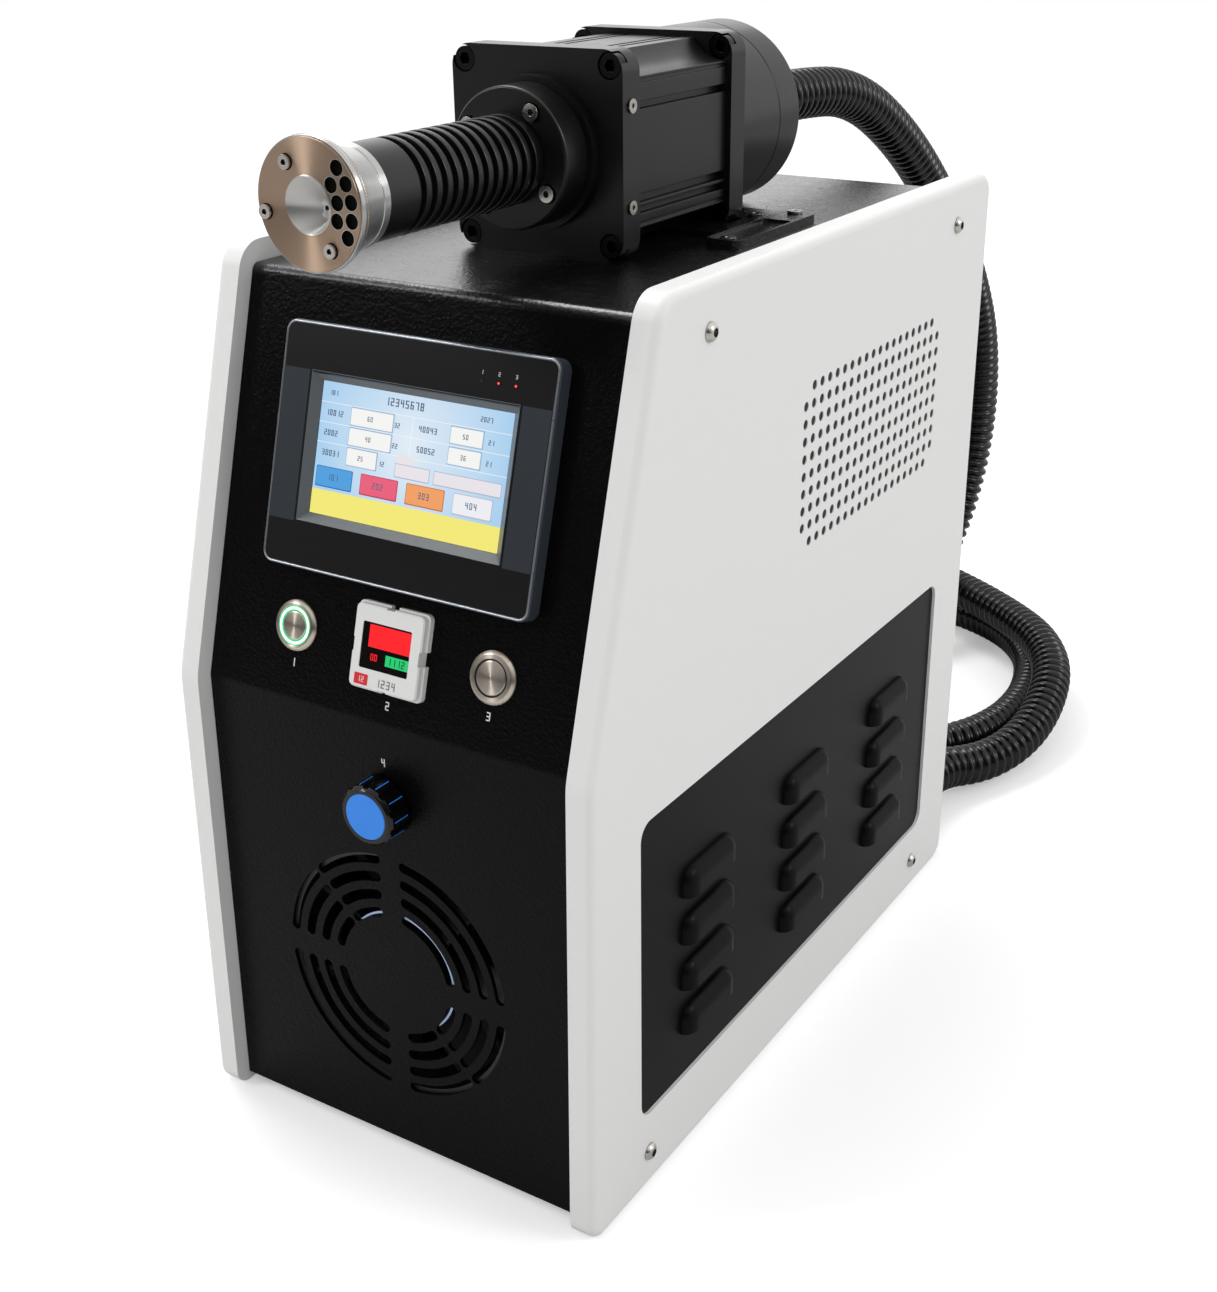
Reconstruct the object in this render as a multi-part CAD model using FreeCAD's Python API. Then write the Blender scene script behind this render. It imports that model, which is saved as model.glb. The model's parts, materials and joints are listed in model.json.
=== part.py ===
import FreeCAD, Part
import math
import os

# Plasma surface treatment system: a bench generator with a rotary plasma gun lying on its top.
# Millimetres. X runs across the front, Y from front to rear, Z up from the table.

V = FreeCAD.Vector
os.makedirs("parts", exist_ok=True)

# Driving sizes of the cabinet
INNER_WIDTH = 192.1
COVER_DEPTH = 12.3
COVER_FRONT_Y = -193.2
COVER_FOLD_Y = -188.9
COVER_FOLD_Z = 217.1
COVER_TOP_FRONT_Y = -136.1
COVER_REAR_Y = 188.9
COVER_TOP_Z = 396.2
COVER_CORNERS = [8.0, 11.0, 11.0, 14.0, 30.0]
COVER_EDGE_ROUND = 4.0
COVER_SKIN = 1.6
COVER_LIP = 16.0
FRONT_RECESS = 7.7
TOP_RECESS = 9.3
FLOOR_GAP = 4.6
SHEET = 2.0

# Named clearances
SIDE_GAP = 0.25
RUNNING_FIT = 0.05
LOOSE_FIT = 0.2
FREE_GAP = 0.4

# Places of the controls, measured up each front face from its lower edge
SCREEN_X = 1.0
SCREEN_UP = 107.6
SCREEN_SIZE = (136.0, 101.5, 7.5)
BUTTON_UP = 31.5
BUTTON_SPREAD = 51.0
SWITCH_X = 2.0
SWITCH_UP = 31.7
SWITCH_SIDE = 35.0
KNOB_UP = 174.2
FAN_UP = 88.9
FAN_SIDE = 120.0

# Driving sizes of the gun
PLATE_SIDE = 84.3
PLATE_CORNER = 9.0
PLATE_SCREW_SPREAD = 35.9
FRONT_PLATE_Y = (-57.1, -44.0)
REAR_PLATE_Y = (33.8, 46.5)
REAR_SEAM_Y = 82.1
GUN_REAR_Y = 103.5
BOSS_FRONT_Y = -62.4
FLANGE_FRONT_Y = -78.3
SLEEVE_FRONT_Y = -177.3
NOZZLE_REAR_Y = -177.6
NOZZLE_FRONT_Y = -200.3
SLEEVE_RADIUS = 18.3
FIN_COUNT = 12
FIN_START_Y = -158.7
FIN_END_Y = -80.8
HOSE_RADIUS = 13.0

X_AXIS = V(1, 0, 0)
Y_AXIS = V(0, 1, 0)
Z_AXIS = V(0, 0, 1)

parts = {}


# Basic solids and outlines

def box(x0, x1, y0, y1, z0, z1):
    return Part.makeBox(x1 - x0, y1 - y0, z1 - z0, V(x0, y0, z0))


def rod(radius, start, direction, length):
    return Part.makeCylinder(radius, length, V(*start), direction)


def ring(outer, inner, start, direction, length):
    return rod(outer, start, direction, length).cut(rod(inner, start, direction, length))


def rounded_wire(points, radii):
    """Closed wire through 3D points with each corner rounded by its radius."""
    edges = []
    first = None
    previous = None
    count = len(points)
    for i, corner in enumerate(points):
        back = (points[i - 1] - corner).normalize()
        ahead = (points[(i + 1) % count] - corner).normalize()
        radius = radii[i]
        if radius > 0:
            half = back.getAngle(ahead) / 2
            run = radius / math.tan(half)
            middle = (back + ahead).normalize() * (radius / math.sin(half) - radius)
            start = corner + back * run
            end = corner + ahead * run
        else:
            start = end = corner
        if previous is not None and start.distanceToPoint(previous) > 1e-6:
            edges.append(Part.LineSegment(previous, start).toShape())
        if radius > 0:
            edges.append(Part.Arc(start, corner + middle, end).toShape())
        first = first or start
        previous = end
    if first.distanceToPoint(previous) > 1e-6:
        edges.append(Part.LineSegment(previous, first).toShape())
    return Part.Wire(Part.__sortEdges__(edges))


def prism(points, radii, direction):
    return Part.Face(rounded_wire(points, radii)).extrude(direction)


def rounded_plate(x, y, width, height, z0, z1, corner):
    """Flat plate in the XY plane with rounded corners, centred on x, y."""
    w = width / 2
    h = height / 2
    points = [V(x - w, y - h, z0), V(x + w, y - h, z0), V(x + w, y + h, z0), V(x - w, y + h, z0)]
    return prism(points, [corner] * 4, V(0, 0, z1 - z0))


def inset_outline(points, distances):
    """Moves each edge of an anticlockwise outline inward by its own distance."""
    lines = []
    count = len(points)
    for i in range(count):
        a = points[i]
        b = points[(i + 1) % count]
        length = math.hypot(b[0] - a[0], b[1] - a[1])
        along = ((b[0] - a[0]) / length, (b[1] - a[1]) / length)
        d = distances[i]
        lines.append(((a[0] - along[1] * d, a[1] + along[0] * d), along))
    moved = []
    for i in range(count):
        (p, u), (q, w) = lines[i - 1], lines[i]
        cross = u[0] * w[1] - u[1] * w[0]
        t = ((q[0] - p[0]) * w[1] - (q[1] - p[1]) * w[0]) / cross
        moved.append((p[0] + u[0] * t, p[1] + u[1] * t))
    return moved


def at_x(points, x):
    return [V(x, y, z) for y, z in points]


def hexagon(across_flats, start, direction, length, sideways):
    """Hexagonal prism; sideways is a unit vector across its axis."""
    other = direction.cross(sideways)
    radius = across_flats / math.sqrt(3)
    centre = V(*start)
    corners = []
    for i in range(6):
        angle = math.radians(60 * i)
        corners.append(centre + sideways * (radius * math.cos(angle)) + other * (radius * math.sin(angle)))
    return prism(corners, [0] * 6, direction * length)


def cap_screw(head_radius, head_height, shank_radius, shank_length, socket, seat, outward, sideways):
    """Socket screw: the head stands outward from its seat, the shank goes in."""
    head = rod(head_radius, seat, outward, head_height)
    shank = rod(shank_radius, seat, outward * -1, shank_length)
    top = V(*seat) + outward * head_height
    depth = head_height * 0.7
    key = hexagon(socket, tuple(top - outward * depth), outward, depth + 1, sideways)
    return head.fuse(shank).cut(key)


def top_edge(solid, centre, outward):
    """The round edge of a cylinder that lies in the plane through centre."""
    for edge in solid.Edges:
        if not edge.isClosed():
            continue
        if abs((edge.CenterOfMass - centre).dot(outward)) < 1e-4:
            return edge


def turned(profile, centre, axis=Y_AXIS):
    """Solid of revolution about Y through centre; profile holds (y, radius) pairs."""
    cx, cz = centre
    points = [V(cx + r, y, cz) for y, r in profile]
    points.append(points[0])
    return Part.Face(Part.makePolygon(points)).revolve(V(cx, 0, cz), axis, 360)


def group(shapes):
    return Part.makeCompound(shapes)


# Outline of the cabinet seen from its right side, as (y, z), anticlockwise
cover_outline = [
    (COVER_FRONT_Y, 0.0),
    (COVER_REAR_Y, 0.0),
    (COVER_REAR_Y, COVER_TOP_Z),
    (COVER_TOP_FRONT_Y, COVER_TOP_Z),
    (COVER_FOLD_Y, COVER_FOLD_Z),
]
body_outline = inset_outline(
    cover_outline, [FLOOR_GAP, FRONT_RECESS, TOP_RECESS, FRONT_RECESS, FRONT_RECESS])
inside_outline = inset_outline(
    cover_outline,
    [FLOOR_GAP + SHEET, FRONT_RECESS + SHEET, TOP_RECESS + SHEET, FRONT_RECESS + SHEET, FRONT_RECESS + SHEET])
base_front, base_rear, top_rear, top_front, fold = body_outline
TOP_Z = COVER_TOP_Z - TOP_RECESS
BODY_REAR_Y = COVER_REAR_Y - FRONT_RECESS
HALF_IN = INNER_WIDTH / 2
HALF_OUT = HALF_IN + COVER_DEPTH
HALF_BODY = HALF_IN - SIDE_GAP
GUN_Z = TOP_Z + PLATE_SIDE / 2


def face_frame(origin, towards):
    """Placement of a front face: local x across, y up the face, z out of it."""
    length = math.hypot(towards[0] - origin[0], towards[1] - origin[1])
    dy = (towards[0] - origin[0]) / length
    dz = (towards[1] - origin[1]) / length
    return FreeCAD.Placement(FreeCAD.Matrix(
        1, 0, 0, 0,
        0, dy, -dz, origin[0],
        0, dz, dy, origin[1],
        0, 0, 0, 1))


UPPER = face_frame(fold, top_front)
LOWER = face_frame(base_front, fold)


def placed(shape, frame):
    moved = shape.copy()
    moved.Placement = frame.multiply(moved.Placement)
    return moved


# Side covers: formed trays with a window for the louvred panel
WINDOW_Y = (-154.0, 151.0)
WINDOW_Z = (39.0, 186.0)
WINDOW_CORNER = 8.0
SCREW_BELOW_TOP = 20.2
SCREW_ABOVE_FOOT = 18.5
COVER_SCREWS = [
    (COVER_TOP_FRONT_Y + 34.1, COVER_TOP_Z - SCREW_BELOW_TOP),
    (COVER_REAR_Y - 43.4, COVER_TOP_Z - SCREW_BELOW_TOP),
    (COVER_REAR_Y - 47.4, SCREW_ABOVE_FOOT),
    (COVER_FRONT_Y + 45.7, SCREW_ABOVE_FOOT),
]
COVER_SCREW_RADIUS = 3.0


def side_cover():
    outer = prism(at_x(cover_outline, HALF_IN), COVER_CORNERS, V(COVER_DEPTH, 0, 0))
    rim = [e for e in outer.Edges if all(abs(v.Point.x - HALF_OUT) < 1e-6 for v in e.Vertexes)]
    outer = outer.makeFillet(COVER_EDGE_ROUND, rim)
    wall = COVER_SKIN + 0.2
    hollow = prism(
        at_x(inset_outline(cover_outline, [wall] * 5), HALF_IN + COVER_SKIN),
        [r - wall for r in COVER_CORNERS], V(COVER_DEPTH - 2 * COVER_SKIN, 0, 0))
    mouth = prism(
        at_x(inset_outline(cover_outline, [COVER_LIP] * 5), HALF_IN),
        [3.0] * 5, V(COVER_SKIN, 0, 0))
    cover = outer.cut(hollow).cut(mouth)
    for y, z in COVER_SCREWS:
        cover = cover.fuse(rod(6.5, (HALF_IN, y, z), X_AXIS, COVER_DEPTH - COVER_SKIN))
    for y, z in COVER_SCREWS:
        cover = cover.cut(rod(COVER_SCREW_RADIUS + LOOSE_FIT, (HALF_IN - 1, y, z), X_AXIS, COVER_DEPTH + 2))
    return cover.cut(window_solid(0.0, HALF_OUT - COVER_SKIN, HALF_OUT + 1)).removeSplitter()


def window_solid(grow, x0, x1):
    y0, y1 = WINDOW_Y[0] - grow, WINDOW_Y[1] + grow
    z0, z1 = WINDOW_Z[0] - grow, WINDOW_Z[1] + grow
    points = [V(x0, y0, z0), V(x0, y1, z0), V(x0, y1, z1), V(x0, y0, z1)]
    return prism(points, [WINDOW_CORNER] * 4, V(x1 - x0, 0, 0))


# Louvred panels behind the windows, with pressed hoods that open downward
LOUVRE_COLUMNS = (-96.0, -0.5, 95.0)
LOUVRE_ROWS = (68.0, 91.5, 115.3, 139.0)
LOUVRE_HALF_LENGTH = 22.0
LOUVRE_PROUD = 5.2
PANEL_FACE_X = HALF_OUT - COVER_SKIN
PANEL_SHEET = 1.5
HOOD_SHEET = 1.2


def hood_block(y, z, x0, proud, half_length, top, bottom):
    """Hood with a sloping crown and sloping ends; its flat mouth looks down."""
    shoulder = (top - bottom) * 0.62
    first = V(x0, y - half_length, z)
    side = [first + V(0, 0, bottom), first + V(proud, 0, bottom),
            first + V(proud * 0.78, 0, bottom + shoulder), first + V(0, 0, top)]
    low = V(x0, y, z + bottom)
    plan = [low + V(0, -half_length, 0), low + V(proud, proud - half_length, 0),
            low + V(proud, half_length - proud, 0), low + V(0, half_length, 0)]
    return prism(side, [0] * 4, V(0, 2 * half_length, 0)).common(prism(plan, [0] * 4, V(0, 0, top - bottom)))


def louvre_panel():
    panel = window_solid(10.0, PANEL_FACE_X - PANEL_SHEET, PANEL_FACE_X)
    hoods = []
    hollows = []
    for y in LOUVRE_COLUMNS:
        for z in LOUVRE_ROWS:
            hoods.append(hood_block(y, z, PANEL_FACE_X, LOUVRE_PROUD, LOUVRE_HALF_LENGTH, 7.5, -7.0))
            hollows.append(hood_block(y, z, PANEL_FACE_X - PANEL_SHEET, LOUVRE_PROUD + PANEL_SHEET - HOOD_SHEET,
                                      LOUVRE_HALF_LENGTH - HOOD_SHEET, 6.2, -8.0))
    below = []
    for y in LOUVRE_COLUMNS:
        for z in LOUVRE_ROWS:
            below.append(box(PANEL_FACE_X, PANEL_FACE_X + 9, y - 30, y + 30, z - 9, z - 7))
    return panel.multiFuse(hoods).cut(group(hollows).cut(group(below)))


def cover_screw(y, z, side):
    outward = X_AXIS * side
    return cap_screw(5.4, 3.0, COVER_SCREW_RADIUS, 16.0, 4.0, (side * HALF_OUT, y, z), outward, Y_AXIS)


def mirrored(shape):
    return shape.mirror(V(0, 0, 0), X_AXIS)


right_cover = side_cover()
parts["right_side_cover"] = right_cover
parts["left_side_cover"] = mirrored(right_cover)
right_louvres = louvre_panel()
parts["right_louvre_panel"] = right_louvres
parts["left_louvre_panel"] = mirrored(right_louvres)
parts["cover_screws"] = group([cover_screw(y, z, side) for side in (-1, 1) for y, z in COVER_SCREWS])


# Folded black sheet that makes the front faces and the top
LEFT_BUTTON_X = SCREEN_X - BUTTON_SPREAD
RIGHT_BUTTON_X = SCREEN_X + BUTTON_SPREAD
BUTTON_HOLE = 9.6
SLOT_WIDTH = 4.7
SLOT_PITCH = 8.7
SLOT_OUTER = 59.5
SLOT_GAP = 10.5
SLOT_RINGS = 4
STUD_SPREAD = 52.5
FLANGE_DEPTH = 24.0


def arc_slot(outer, turn, start_gap, end_gap):
    """One ring slot with round ends, between two radial gaps, turned about the fan axis."""
    middle = outer - SLOT_WIDTH / 2
    round_end = SLOT_WIDTH / 2
    first = math.asin((start_gap / 2 + round_end) / middle)
    last = math.pi / 2 * (1 if end_gap == SLOT_GAP else 0.5) - math.asin((end_gap / 2 + round_end) / middle)
    sector = ring(outer, outer - SLOT_WIDTH, (0, 0, -8), Z_AXIS, 10)
    reach = 2 * outer
    wedge = prism(
        [V(0, 0, -8), V(reach * math.cos(first), reach * math.sin(first), -8),
         V(reach * math.cos(last), reach * math.sin(last), -8)], [0] * 3, V(0, 0, 10))
    slot = sector.common(wedge)
    for angle in (first, last):
        slot = slot.fuse(rod(round_end, (middle * math.cos(angle), middle * math.sin(angle), -8), Z_AXIS, 10))
    slot.rotate(V(0, 0, 0), Z_AXIS, turn)
    return slot


def grille_slots():
    slots = []
    rib = 1.4
    for i in range(SLOT_RINGS):
        outer = SLOT_OUTER - i * SLOT_PITCH
        for turn in (0, 180):
            slots.append(arc_slot(outer, turn, SLOT_GAP, SLOT_GAP))
        for turn in (90, 270):
            slots.append(arc_slot(outer, turn, SLOT_GAP, rib))
            slots.append(arc_slot(outer, turn + 45, rib, SLOT_GAP + 1e-3))
    return slots


def front_top_shell():
    strip = [body_outline[0], fold, top_front, top_rear,
             inside_outline[2], inside_outline[3], inside_outline[4], inside_outline[0]]
    strip[4] = (top_rear[0], TOP_Z - SHEET)
    lean = (fold[0] - base_front[0]) / (fold[1] - base_front[1])
    strip[7] = (inside_outline[0][0] - SHEET * lean, base_front[1])
    shell = prism(at_x(strip, -HALF_BODY), [0, 8, 4, 0, 0, 2, 6, 0], V(2 * HALF_BODY, 0, 0))
    for side in (-1, 1):
        low, high = sorted((side * HALF_BODY, side * (HALF_BODY - SHEET)))
        flange = box(low, high, top_front[0] + 8, top_rear[0] - SHEET, TOP_Z - FLANGE_DEPTH, TOP_Z - SHEET)
        shell = shell.fuse(flange)
        for y, z in COVER_SCREWS[:2]:
            start = (side * (HALF_BODY - SHEET), y, z)
            shell = shell.fuse(rod(5.0, start, X_AXIS * -side, 4.0))
    for y, z in COVER_SCREWS[:2]:
        shell = shell.cut(rod(COVER_SCREW_RADIUS + RUNNING_FIT, (-HALF_IN, y, z), X_AXIS, INNER_WIDTH))
    studs = []
    for x in (-STUD_SPREAD, STUD_SPREAD):
        for y in (FAN_UP - STUD_SPREAD, FAN_UP + STUD_SPREAD):
            studs.append(placed(rod(2.0, (x, y, -SHEET), Z_AXIS * -1, 31.0), LOWER))
    shell = shell.multiFuse(studs)
    cuts = [placed(rounded_plate(SCREEN_X, SCREEN_UP, 125.0, 89.0, -9, 3, 3.0), UPPER)]
    for x in (LEFT_BUTTON_X, RIGHT_BUTTON_X):
        cuts.append(placed(rod(BUTTON_HOLE, (x, BUTTON_UP, -9), Z_AXIS, 12), UPPER))
    cuts.append(placed(rounded_plate(SWITCH_X, SWITCH_UP, 31.0, 31.0, -9, 3, 1.0), UPPER))
    cuts.append(placed(rod(8.2, (0, KNOB_UP, -9), Z_AXIS, 12), LOWER))
    for slot in grille_slots():
        slot.translate(V(0, FAN_UP, 2))
        cuts.append(placed(slot, LOWER))
    return shell.cut(group(cuts)).removeSplitter()


def base_tray():
    front = inside_outline[0][0] + FREE_GAP
    rear = BODY_REAR_Y - SHEET
    wall = 32.0
    tray = box(-HALF_BODY, HALF_BODY, front, rear, FLOOR_GAP, FLOOR_GAP + SHEET)
    for side in (-1, 1):
        low, high = sorted((side * HALF_BODY, side * (HALF_BODY - SHEET)))
        tray = tray.fuse(box(low, high, front, rear, FLOOR_GAP, FLOOR_GAP + wall))
        for y, z in COVER_SCREWS[2:]:
            tray = tray.fuse(rod(5.0, (side * (HALF_BODY - SHEET), y, z), X_AXIS * -side, 4.0))
    tray = tray.fuse(box(-HALF_BODY, HALF_BODY, front, front + SHEET, FLOOR_GAP, FLOOR_GAP + 16))
    for y, z in COVER_SCREWS[2:]:
        tray = tray.cut(rod(COVER_SCREW_RADIUS + RUNNING_FIT, (-HALF_IN, y, z), X_AXIS, INNER_WIDTH))
    return tray.removeSplitter()


# Rear panel with the hose gland, mains inlet, air port and exhaust slots
HOSE_PORT = (HALF_IN - 18.55, 22.0)
GLAND_WALL = 2.6
INLET_PLACE = (-58.0, 70.0)
AIR_PORT = (0.0, 60.0)
GLAND_REAR_Y = 201.8


def rear_panel():
    y0 = BODY_REAR_Y - SHEET
    panel = box(-HALF_BODY, HALF_BODY, y0, BODY_REAR_Y, FLOOR_GAP, TOP_Z - SHEET)
    panel = panel.cut(rod(HOSE_RADIUS + 0.5, (HOSE_PORT[0], y0 - 1, HOSE_PORT[1]), Y_AXIS, 5))
    x, z = INLET_PLACE
    panel = panel.cut(box(x - 14, x + 14, y0 - 1, BODY_REAR_Y + 1, z - 24, z + 24))
    panel = panel.cut(rod(6.2, (AIR_PORT[0], y0 - 1, AIR_PORT[1]), Y_AXIS, 5))
    for i in range(6):
        low = 250 + i * 16
        for x in (-58, 6):
            panel = panel.cut(box(x, x + 52, y0 - 1, BODY_REAR_Y + 1, low, low + 5))
    return panel


def rubber_feet():
    feet = []
    for x in (24 - HALF_IN, HALF_IN - 24):
        for y in (base_front[0] + 35.5, BODY_REAR_Y - 36.2):
            foot = Part.makeCone(9.0, 10.0, FLOOR_GAP, V(x, y, 0), Z_AXIS)
            feet.append(foot)
    return group(feet)


parts["front_top_shell"] = front_top_shell()
parts["base_tray"] = base_tray()
parts["rear_panel"] = rear_panel()
parts["rubber_feet"] = rubber_feet()


# Touchscreen on the upper front face
BEZEL_EDGE = 1.6
OVERLAY = 0.5
WINDOW_SIZE = (105.5, 62.0)
GLASS_SIZE = (98.0, 57.0)
GLASS_LEVEL = 4.2
LED_UP = 145.5
LED_PLACES = (33.4, 41.5, 49.6)


def window_cut():
    """Sloping well from the overlay down to the glass."""
    wires = []
    for (w, h), z in ((WINDOW_SIZE, SCREEN_SIZE[2] + 0.6), (GLASS_SIZE, GLASS_LEVEL)):
        a, b = w / 2, h / 2
        loop = [V(SCREEN_X - a, SCREEN_UP - b, z), V(SCREEN_X + a, SCREEN_UP - b, z),
                V(SCREEN_X + a, SCREEN_UP + b, z), V(SCREEN_X - a, SCREEN_UP + b, z)]
        wires.append(Part.makePolygon(loop + [loop[0]]))
    return Part.makeLoft(wires, True, True)


def screen_housing():
    width, height, depth = SCREEN_SIZE
    body = rounded_plate(SCREEN_X, SCREEN_UP, width, height, 0, depth, 5.0)
    rim = [e for e in body.Edges if all(abs(v.Point.z - depth) < 1e-6 for v in e.Vertexes)]
    body = body.makeChamfer(0.7, rim)
    body = body.fuse(rounded_plate(SCREEN_X, SCREEN_UP, 124.0, 88.0, -24.0, 0.0, 2.5))
    body = body.cut(rounded_plate(
        SCREEN_X, SCREEN_UP, width - 2 * BEZEL_EDGE, height - 2 * BEZEL_EDGE, depth - OVERLAY, depth + 1, 3.6))
    body = body.cut(window_cut())
    well = box(SCREEN_X - 51, SCREEN_X + 51, SCREEN_UP - 30, SCREEN_UP + 30, GLASS_LEVEL - 3.0, GLASS_LEVEL)
    return body.cut(well)


def screen_overlay():
    width, height, depth = SCREEN_SIZE
    sheet = rounded_plate(
        SCREEN_X, SCREEN_UP, width - 2 * BEZEL_EDGE, height - 2 * BEZEL_EDGE, depth - OVERLAY, depth, 3.6)
    sheet = sheet.cut(window_cut())
    for x in LED_PLACES:
        sheet = sheet.cut(rod(1.4, (x, LED_UP, depth - 2), Z_AXIS, 4))
    return sheet


def status_leds():
    depth = SCREEN_SIZE[2]
    return group([rod(1.4, (x, LED_UP, depth - OVERLAY), Z_AXIS, OVERLAY + 0.1) for x in LED_PLACES])


def screen_glass():
    return box(SCREEN_X - 51, SCREEN_X + 51, SCREEN_UP - 30, SCREEN_UP + 30, GLASS_LEVEL - 3.0, GLASS_LEVEL)


parts["touchscreen_housing"] = placed(screen_housing(), UPPER)
parts["touchscreen_overlay"] = placed(screen_overlay(), UPPER)
parts["touchscreen_display"] = placed(screen_glass(), UPPER)
parts["status_leds"] = placed(status_leds(), UPPER)


# Push buttons: a steel body through the panel, a cap on a stem, and on the left a lit ring
BUTTON_TRAVEL = 1.5
BEZEL_RADIUS = 11.0
BEZEL_HEIGHT = 2.2
LIT_RING = (8.5, 6.45)
PLAIN_CAP_RADIUS = 7.2
LIT_CAP_RADIUS = 6.25


def button_body(x, bore):
    start = (x, BUTTON_UP, 0)
    bezel = rod(BEZEL_RADIUS, start, Z_AXIS, BEZEL_HEIGHT)
    bezel = bezel.makeChamfer(1.3, [top_edge(bezel, V(x, BUTTON_UP, BEZEL_HEIGHT), Z_AXIS)])
    barrel = rod(9.3, (x, BUTTON_UP, -26), Z_AXIS, 26)
    body = bezel.fuse(barrel)
    body = body.cut(rod(bore, (x, BUTTON_UP, -7), Z_AXIS, 12))
    return body.cut(rod(3.0 + RUNNING_FIT, (x, BUTTON_UP, -16), Z_AXIS, 12))


def button_cap(x, radius):
    disc = rod(radius, (x, BUTTON_UP, -4.0), Z_AXIS, 4.0 + BEZEL_HEIGHT)
    disc = disc.makeChamfer(0.4, [top_edge(disc, V(x, BUTTON_UP, BEZEL_HEIGHT), Z_AXIS)])
    return disc.fuse(rod(3.0, (x, BUTTON_UP, -13), Z_AXIS, 10))


def button_nut(x):
    nut = hexagon(23.0, (x, BUTTON_UP, -SHEET - 3.5), Z_AXIS, 3.5, X_AXIS)
    return nut.cut(rod(9.3, (x, BUTTON_UP, -8), Z_AXIS, 10))


def lit_ring():
    outer, inner = LIT_RING
    return ring(outer, inner, (LEFT_BUTTON_X, BUTTON_UP, -7), Z_AXIS, 7 + BEZEL_HEIGHT - 0.3)


parts["left_button_body"] = placed(button_body(LEFT_BUTTON_X, LIT_RING[0]), UPPER)
parts["left_button_light_ring"] = placed(lit_ring(), UPPER)
parts["left_button_cap"] = placed(button_cap(LEFT_BUTTON_X, LIT_CAP_RADIUS), UPPER)
parts["right_button_body"] = placed(button_body(RIGHT_BUTTON_X, PLAIN_CAP_RADIUS + LOOSE_FIT), UPPER)
parts["right_button_cap"] = placed(button_cap(RIGHT_BUTTON_X, PLAIN_CAP_RADIUS), UPPER)
parts["button_nuts"] = placed(group([button_nut(LEFT_BUTTON_X), button_nut(RIGHT_BUTTON_X)]), UPPER)


# Digital pressure switch between the buttons
SWITCH_PROUD = 5.5


def switch_frame():
    front = rounded_plate(SWITCH_X, SWITCH_UP, SWITCH_SIDE, SWITCH_SIDE, 2.4, SWITCH_PROUD, 2.5)
    rim = [e for e in front.Edges if all(abs(v.Point.z - SWITCH_PROUD) < 1e-6 for v in e.Vertexes)]
    front = front.makeChamfer(0.6, rim)
    back = rounded_plate(SWITCH_X, SWITCH_UP, SWITCH_SIDE + 1.6, SWITCH_SIDE + 1.6, 0, 2.4, 2.5)
    body = front.fuse(back)
    half = SWITCH_SIDE / 2
    for side in (-1, 1):
        edge = SWITCH_X + side * (half - 0.9)
        low, high = sorted((edge, edge + side * 3))
        body = body.cut(box(low, high, SWITCH_UP - 3, SWITCH_UP + 3, -1, 8))
        edge = SWITCH_UP + side * (half - 0.7)
        low, high = sorted((edge, edge + side * 3))
        body = body.cut(box(SWITCH_X - 2, SWITCH_X + 2, low, high, -1, 8))
    body = body.fuse(rounded_plate(SWITCH_X, SWITCH_UP, 30.4, 30.4, -22, 0, 1.0))
    return body.cut(switch_window_block(SWITCH_PROUD + 1))


def switch_window_block(top):
    return rounded_plate(SWITCH_X - 0.5, SWITCH_UP + 0.7, 25.0, 19.4, SWITCH_PROUD - 1.2, top, 0.8)


parts["pressure_switch_frame"] = placed(switch_frame(), UPPER)
parts["pressure_switch_window"] = placed(switch_window_block(SWITCH_PROUD - 0.3), UPPER)


# Pressure regulator on the lower front face
KNOB_RADIUS = 13.6
KNOB_BACK = 1.4
KNOB_FRONT = 13.5
KNOB_PULL = 2.0
SPINDLE_RADIUS = 3.0
FLUTES = 10


def regulator_body():
    block = rounded_plate(0, KNOB_UP, 42.0, 42.0, -44.0, -SHEET, 6.0)
    neck = rod(8.0, (0, KNOB_UP, -SHEET), Z_AXIS, SHEET + 0.6)
    bowl = rod(17.0, (0, KNOB_UP, -52), Z_AXIS, 8)
    body = block.fuse(neck).fuse(bowl)
    return body.cut(rod(SPINDLE_RADIUS + RUNNING_FIT, (0, KNOB_UP, -20), Z_AXIS, 24))


def regulator_spindle():
    return rod(SPINDLE_RADIUS, (0, KNOB_UP, -19), Z_AXIS, 28)


def regulator_knob():
    knob = rod(KNOB_RADIUS, (0, KNOB_UP, KNOB_BACK), Z_AXIS, KNOB_FRONT - KNOB_BACK)
    knob = knob.makeChamfer(1.6, [top_edge(knob, V(0, KNOB_UP, KNOB_FRONT), Z_AXIS)])
    for i in range(FLUTES):
        angle = math.radians(360 / FLUTES * (i + 0.5))
        x = (KNOB_RADIUS + 0.6) * math.cos(angle)
        y = KNOB_UP + (KNOB_RADIUS + 0.6) * math.sin(angle)
        knob = knob.cut(rod(1.7, (x, y, KNOB_BACK - 1), Z_AXIS, KNOB_FRONT - KNOB_BACK))
    knob = knob.cut(rod(11.0, (0, KNOB_UP, KNOB_BACK - 1), Z_AXIS, 2.6))
    knob = knob.cut(rod(10.4, (0, KNOB_UP, KNOB_FRONT - 0.8), Z_AXIS, 3))
    return knob.cut(rod(SPINDLE_RADIUS + RUNNING_FIT, (0, KNOB_UP, 0), Z_AXIS, 9.4))


def knob_cap():
    cap = rod(10.4, (0, KNOB_UP, KNOB_FRONT - 0.8), Z_AXIS, 1.0)
    return cap.makeChamfer(0.4, [top_edge(cap, V(0, KNOB_UP, KNOB_FRONT + 0.2), Z_AXIS)])


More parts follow.
